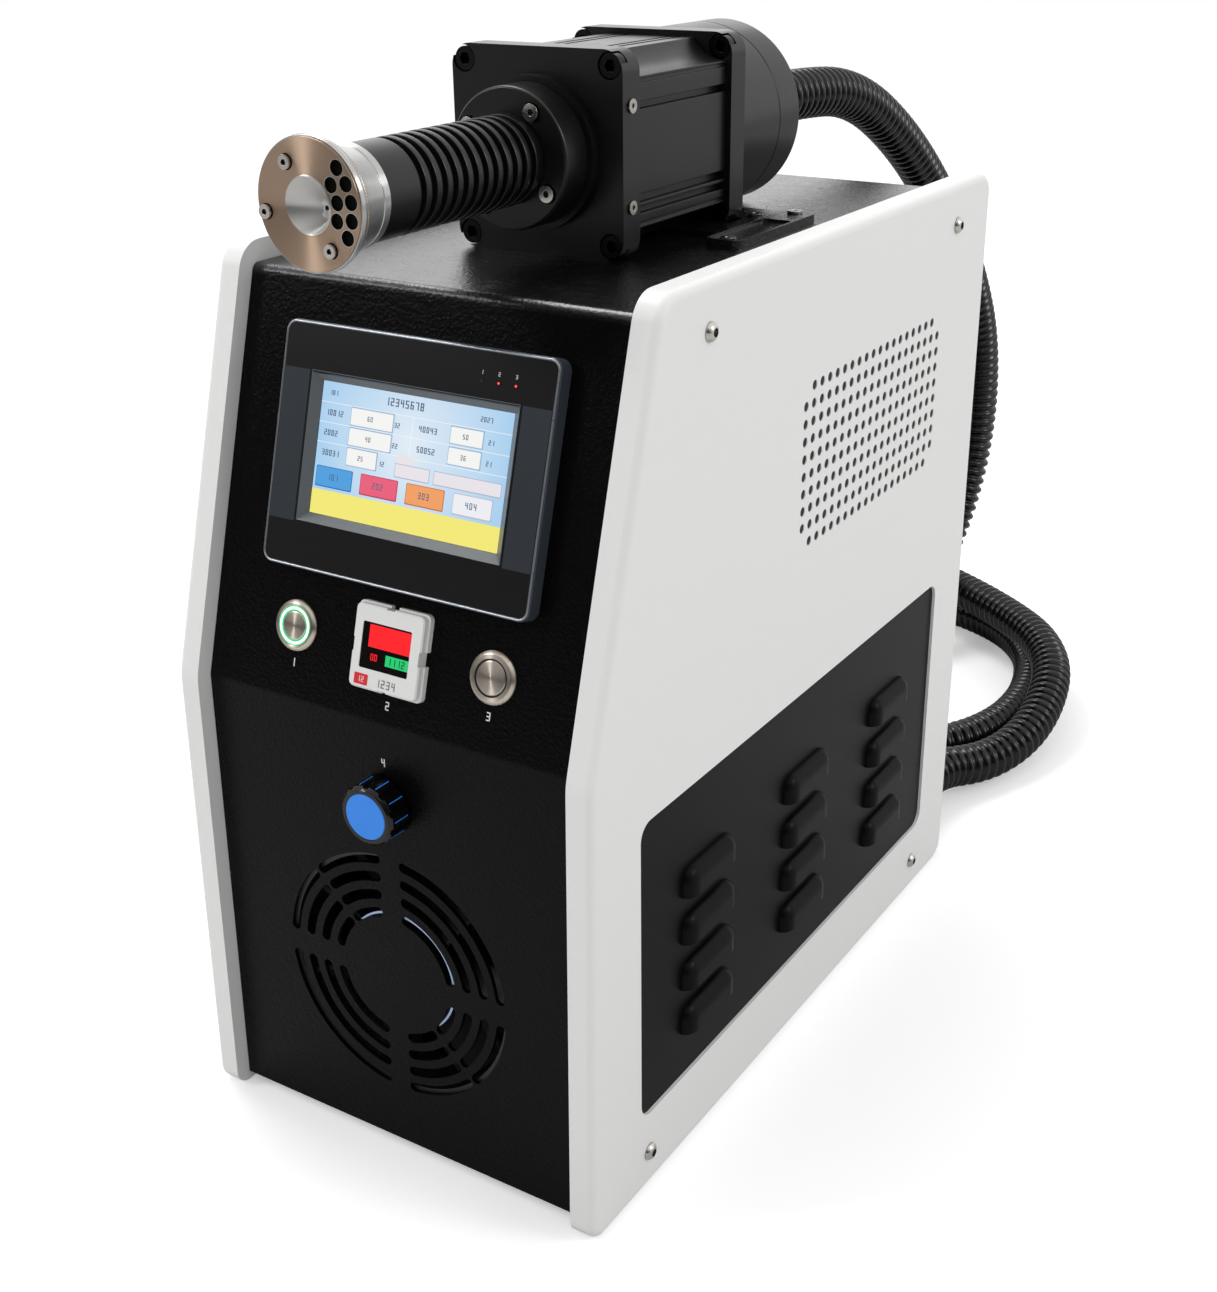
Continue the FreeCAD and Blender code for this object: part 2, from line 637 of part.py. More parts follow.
parts["regulator_body"] = placed(regulator_body(), LOWER)
parts["regulator_spindle"] = placed(regulator_spindle(), LOWER)
parts["regulator_knob"] = placed(regulator_knob(), LOWER)
parts["regulator_knob_cap"] = placed(knob_cap(), LOWER)


# Cooling fan behind the slotted grille
FAN_DEPTH = 25.0
FAN_BORE = 57.5
FAN_BLADES = 7
FAN_SHAFT = 2.0


def fan_frame():
    back = -SHEET - FAN_DEPTH
    frame = rounded_plate(0, FAN_UP, FAN_SIDE, FAN_SIDE, back, -SHEET, 6.0)
    frame = frame.cut(rod(FAN_BORE, (0, FAN_UP, back - 1), Z_AXIS, FAN_DEPTH + 2))
    frame = frame.fuse(rod(20.0, (0, FAN_UP, back), Z_AXIS, 3.0))
    for turn in range(4):
        arm = box(-2.5, 2.5, 15, FAN_BORE + 1.5, back, back + 3)
        arm.rotate(V(0, 0, 0), Z_AXIS, 45 + 90 * turn)
        arm.translate(V(0, FAN_UP, 0))
        frame = frame.fuse(arm)
    frame = frame.fuse(rod(FAN_SHAFT, (0, FAN_UP, back), Z_AXIS, 19.0))
    for x in (-STUD_SPREAD, STUD_SPREAD):
        for y in (FAN_UP - STUD_SPREAD, FAN_UP + STUD_SPREAD):
            frame = frame.cut(rod(2.0 + LOOSE_FIT, (x, y, back - 1), Z_AXIS, FAN_DEPTH + 2))
    return frame.removeSplitter()


def fan_impeller():
    low = -SHEET - FAN_DEPTH + 3.5
    wheel = rod(20.0, (0, 0, low), Z_AXIS, 19.0)
    blades = []
    for i in range(FAN_BLADES):
        blade = box(18.5, 56.4, -1.0, 1.0, -9.5, 9.5)
        blade.rotate(V(0, 0, 0), X_AXIS, 38)
        blade.rotate(V(0, 0, 0), Z_AXIS, 360 / FAN_BLADES * i)
        blade.translate(V(0, 0, low + 9.5))
        blades.append(blade)
    wheel = wheel.multiFuse(blades)
    limit = rod(FAN_BORE - 0.9, (0, 0, low), Z_AXIS, 19.0)
    wheel = wheel.common(limit)
    wheel = wheel.cut(rod(FAN_SHAFT + RUNNING_FIT, (0, 0, low - 1), Z_AXIS, 17.0))
    wheel.translate(V(0, FAN_UP, 0))
    return wheel


def fan_nuts():
    nuts = []
    back = -SHEET - FAN_DEPTH
    for x in (-STUD_SPREAD, STUD_SPREAD):
        for y in (FAN_UP - STUD_SPREAD, FAN_UP + STUD_SPREAD):
            nut = hexagon(7.0, (x, y, back - 3), Z_AXIS, 3, X_AXIS)
            nuts.append(nut.cut(rod(2.0, (x, y, back - 4), Z_AXIS, 6)))
    return group(nuts)


parts["fan_frame"] = placed(fan_frame(), LOWER)
parts["fan_impeller"] = placed(fan_impeller(), LOWER)
parts["fan_nuts"] = placed(fan_nuts(), LOWER)


# Electrical and air parts on the base tray
DECK_Z = FLOOR_GAP + SHEET
SIDE_ROOM = 8.0
SUPPLY_WIDTH = 86.0


def power_supply():
    right = HALF_IN - SIDE_ROOM
    left = right - SUPPLY_WIDTH
    case = box(left, right, -128, 40, DECK_Z, DECK_Z + 42)
    for i in range(5):
        x = left + 12 + i * 14
        case = case.cut(box(x, x + 6, -120, 30, DECK_Z + 40, DECK_Z + 43))
    return case.fuse(box(left + 8, right - 8, 40, 48, DECK_Z, DECK_Z + 14))


def transformer():
    middle = SIDE_ROOM + 37.05 - HALF_IN
    core = box(middle - 35, middle + 35, -124, -64, DECK_Z + 3, DECK_Z + 61)
    for x in (middle - 15, middle + 15):
        core = core.cut(box(x - 8, x + 8, -125, -63, DECK_Z + 14, DECK_Z + 50))
    winding = rounded_plate(middle, -94, 30, 84, DECK_Z + 15, DECK_Z + 49, 10.0)
    foot = box(middle - 39, middle + 39, -118, -70, DECK_Z, DECK_Z + 3)
    return core.fuse(winding).fuse(foot)


def control_board():
    board = box(-86, 30, 62, 168, DECK_Z + 8, DECK_Z + 9.6)
    for x in (-80, 24):
        for y in (68, 162):
            board = board.fuse(rod(3.0, (x, y, DECK_Z), Z_AXIS, 8))
    board = board.fuse(box(-60, -30, 90, 130, DECK_Z + 9.6, DECK_Z + 34))
    board = board.fuse(box(-16, 18, 84, 110, DECK_Z + 9.6, DECK_Z + 18))
    for i in range(3):
        board = board.fuse(rod(7.0, (-8 + i * 15, 140, DECK_Z + 9.6), Z_AXIS, 24))
    return board


def solenoid_valve():
    block = box(-84, -50, -30, 12, DECK_Z, DECK_Z + 24)
    coil = rod(13.0, (-67, -12, DECK_Z + 24), Z_AXIS, 30)
    port = rod(6.0, (-67, 12, DECK_Z + 12), Y_AXIS, 14)
    return block.fuse(coil).fuse(port)


parts["power_supply"] = power_supply()
parts["high_voltage_transformer"] = transformer()
parts["control_board"] = control_board()
parts["solenoid_valve"] = solenoid_valve()


# Rear connections
ROCKER_SIZE = (12.6, 18.6)
ROCKER_UP = 13.0
ROCKER_HINGE_Y = BODY_REAR_Y - 2.0


def power_inlet():
    x, z = INLET_PLACE
    rear = BODY_REAR_Y
    flange = box(x - 16, x + 16, rear, rear + 2.5, z - 27, z + 27)
    body = box(x - 13.8, x + 13.8, rear - 28, rear, z - 23.8, z + 23.8)
    module = flange.fuse(body)
    socket = box(x - 12, x + 12, rear - 15, rear + 4, z - 20.5, z - 4)
    module = module.cut(socket)
    for pin_x, pin_z in ((-7, -13.5), (7, -13.5), (0, -9.5)):
        px, pz = x + pin_x, z + pin_z
        module = module.fuse(box(px - 1, px + 1, rear - 15, rear - 1, pz - 2, pz + 2))
    half_w = ROCKER_SIZE[0] / 2 + FREE_GAP
    half_h = ROCKER_SIZE[1] / 2 + FREE_GAP
    middle = z + ROCKER_UP
    pocket = box(x - half_w, x + half_w, rear - 14, rear + 4, middle - half_h, middle + half_h)
    module = module.cut(pocket)
    pin = rod(1.2, (x - half_w, ROCKER_HINGE_Y, middle), X_AXIS, 2 * half_w)
    return module.fuse(pin)


def power_rocker():
    x, z = INLET_PLACE
    middle = z + ROCKER_UP
    y = ROCKER_HINGE_Y
    half = ROCKER_SIZE[1] / 2
    profile = [V(x, y - 5, middle - 4), V(x, y - 5, middle + 4), V(x, y + 2.2, middle + half),
               V(x, y + 5.4, middle + half - 1), V(x, y + 4.2, middle), V(x, y + 5.4, middle - half + 1),
               V(x, y + 2.2, middle - half)]
    rocker = Part.Face(Part.makePolygon(profile + [profile[0]])).extrude(V(ROCKER_SIZE[0], 0, 0))
    rocker.translate(V(-ROCKER_SIZE[0] / 2, 0, 0))
    return rocker.cut(rod(1.2 + RUNNING_FIT, (x - 10, y, middle), X_AXIS, 20))


def air_inlet():
    x, z = AIR_PORT
    y = BODY_REAR_Y
    nut = hexagon(14.0, (x, y, z), Y_AXIS, 5.0, Z_AXIS)
    collar = rod(6.0, (x, y + 5, z), Y_AXIS, 8.0)
    shank = rod(6.0, (x, y - 12, z), Y_AXIS, 12)
    inner_nut = hexagon(14.0, (x, y - SHEET - 4, z), Y_AXIS, 4.0, Z_AXIS)
    fitting = nut.fuse(collar).fuse(shank).fuse(inner_nut)
    return fitting.cut(rod(4.1, (x, y - 1, z), Y_AXIS, 20))


def rear_gland():
    x, z = HOSE_PORT
    y = BODY_REAR_Y
    collar = rod(HOSE_RADIUS + GLAND_WALL, (x, y, z), Y_AXIS, GLAND_REAR_Y - y)
    collar = collar.makeChamfer(1.0, [top_edge(collar, V(x, GLAND_REAR_Y, z), Y_AXIS)])
    shank = rod(HOSE_RADIUS + 0.3, (x, y - 14, z), Y_AXIS, 14)
    nut = ring(HOSE_RADIUS + GLAND_WALL - 0.4, HOSE_RADIUS + 0.3, (x, y - SHEET - 5, z), Y_AXIS, 5)
    return collar.fuse(shank).fuse(nut)


parts["power_inlet"] = power_inlet()
parts["power_rocker"] = power_rocker()
parts["air_inlet_fitting"] = air_inlet()
parts["hose_gland_rear"] = rear_gland()


# Gun: square end plates, grooved body, round rear housing
def gun_plate(y0, y1):
    half = PLATE_SIDE / 2
    corners = [V(-half, y0, GUN_Z - half), V(half, y0, GUN_Z - half),
               V(half, y0, GUN_Z + half), V(-half, y0, GUN_Z + half)]
    return prism(corners, [PLATE_CORNER] * 4, V(0, y1 - y0, 0))


def corner_places():
    s = PLATE_SCREW_SPREAD
    return [(x, GUN_Z + z) for x in (-s, s) for z in (-s, s)]


PLATE_SCREW_HEAD = 4.9
PLATE_SCREW_SHANK = 2.9
COUNTERBORE_DEPTH = 5.5
SHAFT_RADIUS = 7.0
SHAFT_BORE = 4.6
BEARING_RADIUS = 13.0
FLANGE_SCREW_CIRCLE = 22.7
FLANGE_SCREW_ANGLES = (57.0, 147.0, 237.0, 327.0)
SIDE_SCREW_Z = 20.2


def around_axis(radius, angle):
    turn = math.radians(angle)
    return radius * math.cos(turn), GUN_Z + radius * math.sin(turn)


def front_plate():
    y0, y1 = FRONT_PLATE_Y
    plate = gun_plate(y0, y1)
    plate = plate.fuse(rod(31.4, (0, BOSS_FRONT_Y, GUN_Z), Y_AXIS, y0 - BOSS_FRONT_Y))
    plate = plate.cut(rod(BEARING_RADIUS, (0, BOSS_FRONT_Y - 1, GUN_Z), Y_AXIS, 30))
    for x, z in corner_places():
        plate = plate.cut(rod(PLATE_SCREW_HEAD + 0.6, (x, y0 - 1, z), Y_AXIS, COUNTERBORE_DEPTH + 1))
        plate = plate.cut(rod(PLATE_SCREW_SHANK, (x, y0, z), Y_AXIS, 30))
    for side in (-1, 1):
        for dz in (-SIDE_SCREW_Z, SIDE_SCREW_Z):
            start = (side * (PLATE_SIDE / 2 - 8), (y0 + y1) / 2, GUN_Z + dz)
            plate = plate.cut(rod(1.9, start, X_AXIS * side, 12))
    return plate


def plate_screw(x, z, head_y):
    head = rod(PLATE_SCREW_HEAD, (x, head_y, z), Y_AXIS, 5.0)
    shank = rod(PLATE_SCREW_SHANK, (x, head_y + 5.0, z), Y_AXIS, 7.0)
    key = hexagon(4.6, (x, head_y - 1, z), Y_AXIS, 4.0, X_AXIS)
    return head.fuse(shank).cut(key)


def gun_side_screws():
    y = sum(FRONT_PLATE_Y) / 2
    screws = []
    for side in (-1, 1):
        for dz in (-SIDE_SCREW_Z, SIDE_SCREW_Z):
            seat = (side * PLATE_SIDE / 2, y, GUN_Z + dz)
            screws.append(cap_screw(2.9, 1.0, 1.9, 7.5, 2.0, seat, X_AXIS * side, Y_AXIS))
    return group(screws)


# Section of the gun body in one half, as (x, z) from its axis
PLATE_STEP = 2.65
BODY_HALF = PLATE_SIDE / 2 - PLATE_STEP
TOP_HALF = 23.0
SCOOP_LOW = BODY_HALF - 8.9


def gun_body():
    """Drawn body: two flat grooves on top, scooped corners, ledges and side grooves."""
    block = box(-BODY_HALF, BODY_HALF, FRONT_PLATE_Y[1], REAR_PLATE_Y[0], GUN_Z - BODY_HALF, GUN_Z + BODY_HALF)
    y0 = FRONT_PLATE_Y[1] - 1
    length = REAR_PLATE_Y[0] - FRONT_PLATE_Y[1] + 2
    cuts = []
    for sx in (-1, 1):
        for sz in (-1, 1):
            a = V(sx * TOP_HALF, y0, GUN_Z + sz * BODY_HALF)
            b = V(sx * (TOP_HALF + 8.5), y0, GUN_Z + sz * (SCOOP_LOW + 1.5))
            c = V(sx * (BODY_HALF - 1.5), y0, GUN_Z + sz * SCOOP_LOW)
            d = V(sx * (BODY_HALF + 5), y0, GUN_Z + sz * SCOOP_LOW)
            e = V(sx * (BODY_HALF + 5), y0, GUN_Z + sz * (BODY_HALF + 5))
            f = V(sx * TOP_HALF, y0, GUN_Z + sz * (BODY_HALF + 5))
            edges = [Part.Arc(a, b, c).toShape()]
            corners = [c, d, e, f, a]
            for start, end in zip(corners, corners[1:]):
                edges.append(Part.LineSegment(start, end).toShape())
            cuts.append(Part.Face(Part.Wire(edges)).extrude(V(0, length, 0)))
            for x in (11.0, 16.0):
                cuts.append(box(sx * x - 1.1, sx * x + 1.1, y0, y0 + length,
                                GUN_Z + sz * BODY_HALF - 2.6, GUN_Z + sz * BODY_HALF + 2.6))
        for low, high in ((17.6, 20.7), (-20.1, -16.5), (-24.6, -21.7)):
            cuts.append(box(sx * BODY_HALF - 3.4, sx * BODY_HALF + 3.4, y0, y0 + length,
                            GUN_Z + low, GUN_Z + high))
        for level in (28.8, -28.8):
            cuts.append(box(sx * BODY_HALF - 0.8, sx * BODY_HALF + 0.8, y0, y0 + length,
                            GUN_Z + level - 0.7, GUN_Z + level + 0.7))
    cuts.append(rod(STATOR_RADIUS, (0, y0, GUN_Z), Y_AXIS, length))
    return block.cut(group(cuts))


STATOR_RADIUS = 30.0
ROTOR_RADIUS = 15.5
ROTOR_Y = (-32.0, 18.0)


def rear_plate():
    y0, y1 = REAR_PLATE_Y
    plate = gun_plate(y0, y1)
    plate = plate.cut(rod(BEARING_RADIUS, (0, y0 - 1, GUN_Z), Y_AXIS, 10))
    plate = plate.cut(rod(SHAFT_RADIUS + 1.0, (0, y0 - 1, GUN_Z), Y_AXIS, 30))
    for x, z in corner_places():
        plate = plate.cut(rod(PLATE_SCREW_HEAD + 0.6, (x, y0 - 1, z), Y_AXIS, COUNTERBORE_DEPTH + 1))
        plate = plate.cut(rod(PLATE_SCREW_SHANK, (x, y0, z), Y_AXIS, 30))
    return plate


def plate_screws():
    screws = []
    for y0 in (FRONT_PLATE_Y[0], REAR_PLATE_Y[0]):
        for x, z in corner_places():
            screws.append(plate_screw(x, z, y0 + COUNTERBORE_DEPTH - 5.0))
    return group(screws)


def motor_flange():
    depth = BOSS_FRONT_Y - FLANGE_FRONT_Y
    flange = rod(28.8, (0, FLANGE_FRONT_Y, GUN_Z), Y_AXIS, depth)
    flange = flange.makeChamfer(0.8, [top_edge(flange, V(0, FLANGE_FRONT_Y, GUN_Z), Y_AXIS)])
    flange = flange.cut(rod(BEARING_RADIUS, (0, BOSS_FRONT_Y - 4, GUN_Z), Y_AXIS, 6))
    flange = flange.cut(rod(SHAFT_RADIUS + 1.0, (0, FLANGE_FRONT_Y - 1, GUN_Z), Y_AXIS, 30))
    for angle in FLANGE_SCREW_ANGLES:
        x, z = around_axis(FLANGE_SCREW_CIRCLE, angle)
        flange = flange.cut(rod(3.8, (x, FLANGE_FRONT_Y - 1, z), Y_AXIS, 2.2))
        flange = flange.cut(rod(1.9, (x, FLANGE_FRONT_Y, z), Y_AXIS, 9))
    return flange


def flange_screws():
    screws = []
    for angle in FLANGE_SCREW_ANGLES:
        x, z = around_axis(FLANGE_SCREW_CIRCLE, angle)
        seat = (x, FLANGE_FRONT_Y + 1.2, z)
        screws.append(cap_screw(3.5, 2.4, 1.9, 7.0, 2.5, seat, Y_AXIS * -1, X_AXIS))
    return group(screws)


def finned_sleeve():
    pitch = (FIN_END_Y - FIN_START_Y) / FIN_COUNT
    depth = 2.6
    profile = [(SLEEVE_FRONT_Y, 14.0), (SLEEVE_FRONT_Y, SLEEVE_RADIUS)]
    for i in range(FIN_COUNT):
        groove = FIN_START_Y + i * pitch
        profile += [(groove, SLEEVE_RADIUS), (groove, SLEEVE_RADIUS - depth),
                    (groove + pitch / 2, SLEEVE_RADIUS - depth), (groove + pitch / 2, SLEEVE_RADIUS)]
    profile += [(FLANGE_FRONT_Y, SLEEVE_RADIUS), (FLANGE_FRONT_Y, 14.0)]
    return turned(profile, (0, GUN_Z))


HOUSING_RADIUS = PLATE_SIDE / 2 - 0.15
HOUSING_WALL = 5.0


def rear_housing():
    housing = rod(HOUSING_RADIUS, (0, REAR_PLATE_Y[1], GUN_Z), Y_AXIS, REAR_SEAM_Y - REAR_PLATE_Y[1])
    return housing.cut(rod(HOUSING_RADIUS - HOUSING_WALL, (0, REAR_PLATE_Y[1] - 1, GUN_Z), Y_AXIS, 60))


def rear_cap():
    cap = turned(
        [(REAR_SEAM_Y, 0), (REAR_SEAM_Y, HOUSING_RADIUS - 0.6), (REAR_SEAM_Y + 0.7, HOUSING_RADIUS),
         (GUN_REAR_Y - 1.5, HOUSING_RADIUS), (GUN_REAR_Y, HOUSING_RADIUS - 1.5), (GUN_REAR_Y, 0)], (0, GUN_Z))
    return cap.cut(rod(HOSE_RADIUS - 1.0, (0, REAR_SEAM_Y - 1, GUN_Z), Y_AXIS, 40))


def gun_gland():
    collar = rod(HOSE_RADIUS + GLAND_WALL, (0, GUN_REAR_Y, GUN_Z), Y_AXIS, 8.0)
    spigot = rod(HOSE_RADIUS - 1.2, (0, GUN_REAR_Y - 14, GUN_Z), Y_AXIS, 14.0)
    return collar.fuse(spigot)


parts["gun_front_plate"] = front_plate()
parts["gun_body"] = gun_body()
parts["gun_rear_plate"] = rear_plate()
parts["gun_plate_screws"] = plate_screws()
parts["gun_side_screws"] = gun_side_screws()
parts["gun_motor_flange"] = motor_flange()
parts["gun_flange_screws"] = flange_screws()
parts["gun_finned_sleeve"] = finned_sleeve()
parts["gun_rear_housing"] = rear_housing()
parts["gun_rear_cap"] = rear_cap()
parts["gun_hose_gland"] = gun_gland()


# Turning parts of the gun: nozzle, hollow shaft and rotor
FACE_RADIUS = 23.6
FACE_THICKNESS = 5.0
CONE_RADIUS = 10.35
HOLE_RADIUS = 2.85
OUTER_HOLES = [(19.9, 7.2 + 18.7 * i) for i in (-2, -1, 0, 1, 2)]
INNER_HOLES = [(13.6, 8.0 + 27.4 * i) for i in (-1, 0, 1)]
NOZZLE_SCREWS = [(17.0, 121.6), (20.3, 190.4), (17.8, 301.5)]
OUTLET_OFFSET = 3.0


def nozzle_bore():
    """Cone from the face down to the slanting outlet beside the axis."""
    wide = Part.makeCircle(CONE_RADIUS, V(0, NOZZLE_FRONT_Y - 0.01, GUN_Z), Y_AXIS)
    narrow = Part.makeCircle(3.4, V(OUTLET_OFFSET, NOZZLE_FRONT_Y + 11.0, GUN_Z), Y_AXIS)
    return Part.makeLoft([Part.Wire(wide), Part.Wire(narrow)], True, True)


def nozzle_head():
    back = NOZZLE_REAR_Y
    profile = [(NOZZLE_FRONT_Y + FACE_THICKNESS, 0), (NOZZLE_FRONT_Y + FACE_THICKNESS, FACE_RADIUS),
               (NOZZLE_FRONT_Y + 0.6, FACE_RADIUS), (NOZZLE_FRONT_Y + 0.6, 24.2), (NOZZLE_FRONT_Y + 2.4, 24.5),
               (NOZZLE_FRONT_Y + 7.0, 22.2), (back - 8.0, 20.0), (back - 3.6, 18.9), (back - 3.4, 19.2),
               (back, 19.2), (back, 0)]
    head = turned(profile, (0, GUN_Z))
    head = head.cut(nozzle_bore())
    return head.cut(rod(SHAFT_RADIUS, (0, back - 9, GUN_Z), Y_AXIS, 10))


def nozzle_face():
    disc = rod(FACE_RADIUS, (0, NOZZLE_FRONT_Y, GUN_Z), Y_AXIS, FACE_THICKNESS)
    disc = disc.cut(nozzle_bore())
    for radius, angle in OUTER_HOLES + INNER_HOLES:
        x, z = around_axis(radius, angle)
        disc = disc.cut(rod(HOLE_RADIUS, (x, NOZZLE_FRONT_Y - 1, z), Y_AXIS, FACE_THICKNESS))
    for radius, angle in NOZZLE_SCREWS:
        x, z = around_axis(radius, angle)
        disc = disc.cut(rod(1.5, (x, NOZZLE_FRONT_Y - 1, z), Y_AXIS, 5))
    return disc


def nozzle_screws():
    screws = []
    for radius, angle in NOZZLE_SCREWS:
        x, z = around_axis(radius, angle)
        screws.append(cap_screw(2.6, 1.5, 1.5, 3.8, 2.0, (x, NOZZLE_FRONT_Y, z), Y_AXIS * -1, X_AXIS))
    return group(screws)


def shaft():
    front = NOZZLE_REAR_Y - 9
    rear = REAR_PLATE_Y[0] + 8
    return ring(SHAFT_RADIUS, SHAFT_BORE, (0, front, GUN_Z), Y_AXIS, rear - front)


def bearings():
    rings = []
    for y in (BOSS_FRONT_Y - 4, REAR_PLATE_Y[0]):
        rings.append(ring(BEARING_RADIUS, SHAFT_RADIUS + RUNNING_FIT, (0, y, GUN_Z), Y_AXIS, 9.0))
    return group(rings)


def electrode():
    """Fixed high-voltage rod in the hollow shaft, held by its insulator in the rear cap."""
    pin = rod(2.0, (0, NOZZLE_FRONT_Y + 17, GUN_Z), Y_AXIS, 240)
    sleeve = rod(4.2, (0, NOZZLE_FRONT_Y + 30, GUN_Z), Y_AXIS, 227)
    foot = rod(10.0, (0, REAR_PLATE_Y[1], GUN_Z), Y_AXIS, 10.0)
    return pin.fuse(sleeve).fuse(foot)


parts["nozzle_head"] = nozzle_head()
parts["nozzle_face"] = nozzle_face()
parts["nozzle_screws"] = nozzle_screws()
parts["nozzle_shaft"] = shaft()
parts["motor_rotor"] = ring(ROTOR_RADIUS, SHAFT_RADIUS, (0, ROTOR_Y[0], GUN_Z), Y_AXIS, ROTOR_Y[1] - ROTOR_Y[0])
parts["motor_stator"] = ring(STATOR_RADIUS, ROTOR_RADIUS + 0.6, (0, ROTOR_Y[0], GUN_Z), Y_AXIS, ROTOR_Y[1] - ROTOR_Y[0])
parts["gun_bearings"] = bearings()
parts["plasma_electrode"] = electrode()


# Dock that the gun lies in, on the cabinet's top
DOCK_PLATE_THICKNESS = 2.4
RAIL_HEIGHT = 3.8
RAIL_X = (PLATE_SIDE / 2 + 10.35, PLATE_SIDE / 2 + 27.85)
RAIL_Y = (-9.0, 68.0)
DOCK_SCREWS = [(sum(RAIL_X) / 2, -2.5), (sum(RAIL_X) / 2, 62.0), (PLATE_SIDE / 2 + 2.45, 54.5)]


def dock_plate():
    plate = rounded_plate(0, 41.0, PLATE_SIDE + 15.7, 62.0, TOP_Z, TOP_Z + DOCK_PLATE_THICKNESS, 4.0)
    clear = PLATE_SIDE / 2 + 0.3
    plate = plate.cut(box(-clear, clear, REAR_PLATE_Y[0] - 0.3, REAR_PLATE_Y[1] + 0.3, TOP_Z - 1, TOP_Z + 9))
    plate = plate.cut(box(-17, 17, REAR_PLATE_Y[1], 80, TOP_Z - 1, TOP_Z + 9))
    for x, y in DOCK_SCREWS[2:]:
        for side in (-1, 1):
            plate = plate.cut(rod(1.9, (side * x, y, TOP_Z - 1), Z_AXIS, 9))
    return plate


def dock_rails():
    rails = []
    width = RAIL_X[1] - RAIL_X[0]
    middle = sum(RAIL_X) / 2
    for side in (-1, 1):
        rail = rounded_plate(side * middle, sum(RAIL_Y) / 2, width, RAIL_Y[1] - RAIL_Y[0],
                             TOP_Z, TOP_Z + RAIL_HEIGHT, 4.5)
        recess = rounded_plate(side * middle, 18.5, width - 2.4, 52.0,
                               TOP_Z + RAIL_HEIGHT - 1.4, TOP_Z + RAIL_HEIGHT + 1, 3.4)
        rail = rail.cut(recess)
        for x, y in DOCK_SCREWS[:2]:
            rail = rail.cut(rod(1.9, (side * x, y, TOP_Z - 1), Z_AXIS, 9))
        rails.append(rail)
    return group(rails)


def dock_screws():
    levels = (TOP_Z + RAIL_HEIGHT - 1.4, TOP_Z + RAIL_HEIGHT, TOP_Z + DOCK_PLATE_THICKNESS)
    screws = []
    for side in (-1, 1):
        for (x, y), seat in zip(DOCK_SCREWS, levels):
            length = seat - TOP_Z - 0.2
            screws.append(cap_screw(3.6, 1.4, 1.9, length, 2.2, (side * x, y, seat), Z_AXIS, X_AXIS))
    return group(screws)


parts["gun_dock_plate"] = dock_plate()
parts["gun_dock_rails"] = dock_rails()
parts["gun_dock_screws"] = dock_screws()


# Free hose: out of the gun, down behind the cabinet, one turn on the table and one that climbs
# over it, into the rear panel
HOSE_START = (0.0, GUN_REAR_Y + 8.0, GUN_Z)
HOSE_END = (HOSE_PORT[0], GLAND_REAR_Y, HOSE_PORT[1])
FLOOR_Z = HOSE_RADIUS + 0.3
hose_points = [
    HOSE_START,
    (0, 182, GUN_Z),
    (0, 252, 423),
    (0, 322, 391),
    (0, 388, 345),
    (0, 448, 290),
    (-2, 496, 226),
    (-6, 512, 152),
    (-12, 492, 86),
    (-22, 442, 36),
    (-36, 382, FLOOR_Z),
    (-55, 329, FLOOR_Z),
    (-104, 283, FLOOR_Z),
    (-169, 267, FLOOR_Z),
    (-234, 286, FLOOR_Z),
    (-281, 334, FLOOR_Z),
    (-297, 400, FLOOR_Z),
    (-279, 464, FLOOR_Z),
    (-231, 512, FLOOR_Z),
    (-166, 529, FLOOR_Z),
    (-108, 529, FLOOR_Z),
    (-54, 524, FLOOR_Z),
    (-8, 515, FLOOR_Z),
    (36, 495, FLOOR_Z),
    (66, 461, FLOOR_Z),
    (82, 420, FLOOR_Z),
    (89, 378, FLOOR_Z),
    (86, 336, FLOOR_Z),
    (70, 298, FLOOR_Z),
    (38, 270, FLOOR_Z),
    (-12, 248, FLOOR_Z),
    (-74, 234, FLOOR_Z),
    (-144, 231, FLOOR_Z),
    (-214, 240, FLOOR_Z),
    (-272, 268, FLOOR_Z),
    (-313, 314, FLOOR_Z),
    (-331, 374, FLOOR_Z),
    (-328, 436, 18),
    (-304, 494, 26),
    (-260, 536, 34),
    (-204, 556, 39),
    (-146, 552, 41),
    (-94, 535, 41),
    (-46, 514, 40),
    (2, 492, 39),
    (48, 462, 39),
    (82, 430, 40),
    (104, 394, 36),
    (112, 352, 26),
    (110, 314, 18.5),
    (98, 280, 15),
    (HOSE_PORT[0], GLAND_REAR_Y + 42, HOSE_PORT[1]),
    HOSE_END,
]


def hose_route(points):
    """Straight runs joined by tangent arcs; prints the smallest arc radius and the length."""
    corners = [V(*p) for p in points]
    edges = []
    radii = []
    previous = corners[0]
    for a, b, c in zip(corners, corners[1:], corners[2:]):
        back = (a - b).normalize()
        ahead = (c - b).normalize()
        half_turn = (math.pi - back.getAngle(ahead)) / 2
        reach = 0.45 * min(a.distanceToPoint(b), b.distanceToPoint(c))
        radius = reach / math.tan(half_turn)
        start = b + back * reach
        end = b + ahead * reach
        middle = b + (back + ahead).normalize() * (radius / math.cos(half_turn) - radius)
        edges.append(Part.LineSegment(previous, start).toShape())
        edges.append(Part.Arc(start, middle, end).toShape())
        radii.append(round(radius))
        previous = end
    edges.append(Part.LineSegment(previous, corners[-1]).toShape())
    wire = Part.Wire(edges)
    print("hose arc radii", radii)
    print("hose length", round(wire.Length), "least radius", min(radii))
    return wire


def hose():
    route = hose_route(hose_points)
    first = V(*hose_points[1]) - V(*hose_points[0])
    section = Part.Wire(Part.makeCircle(HOSE_RADIUS, V(*hose_points[0]), first))
    tube = route.makePipeShell([section], True, False)
    print("hose volume ratio", round(tube.Volume / (math.pi * HOSE_RADIUS ** 2 * route.Length), 4))
    return tube


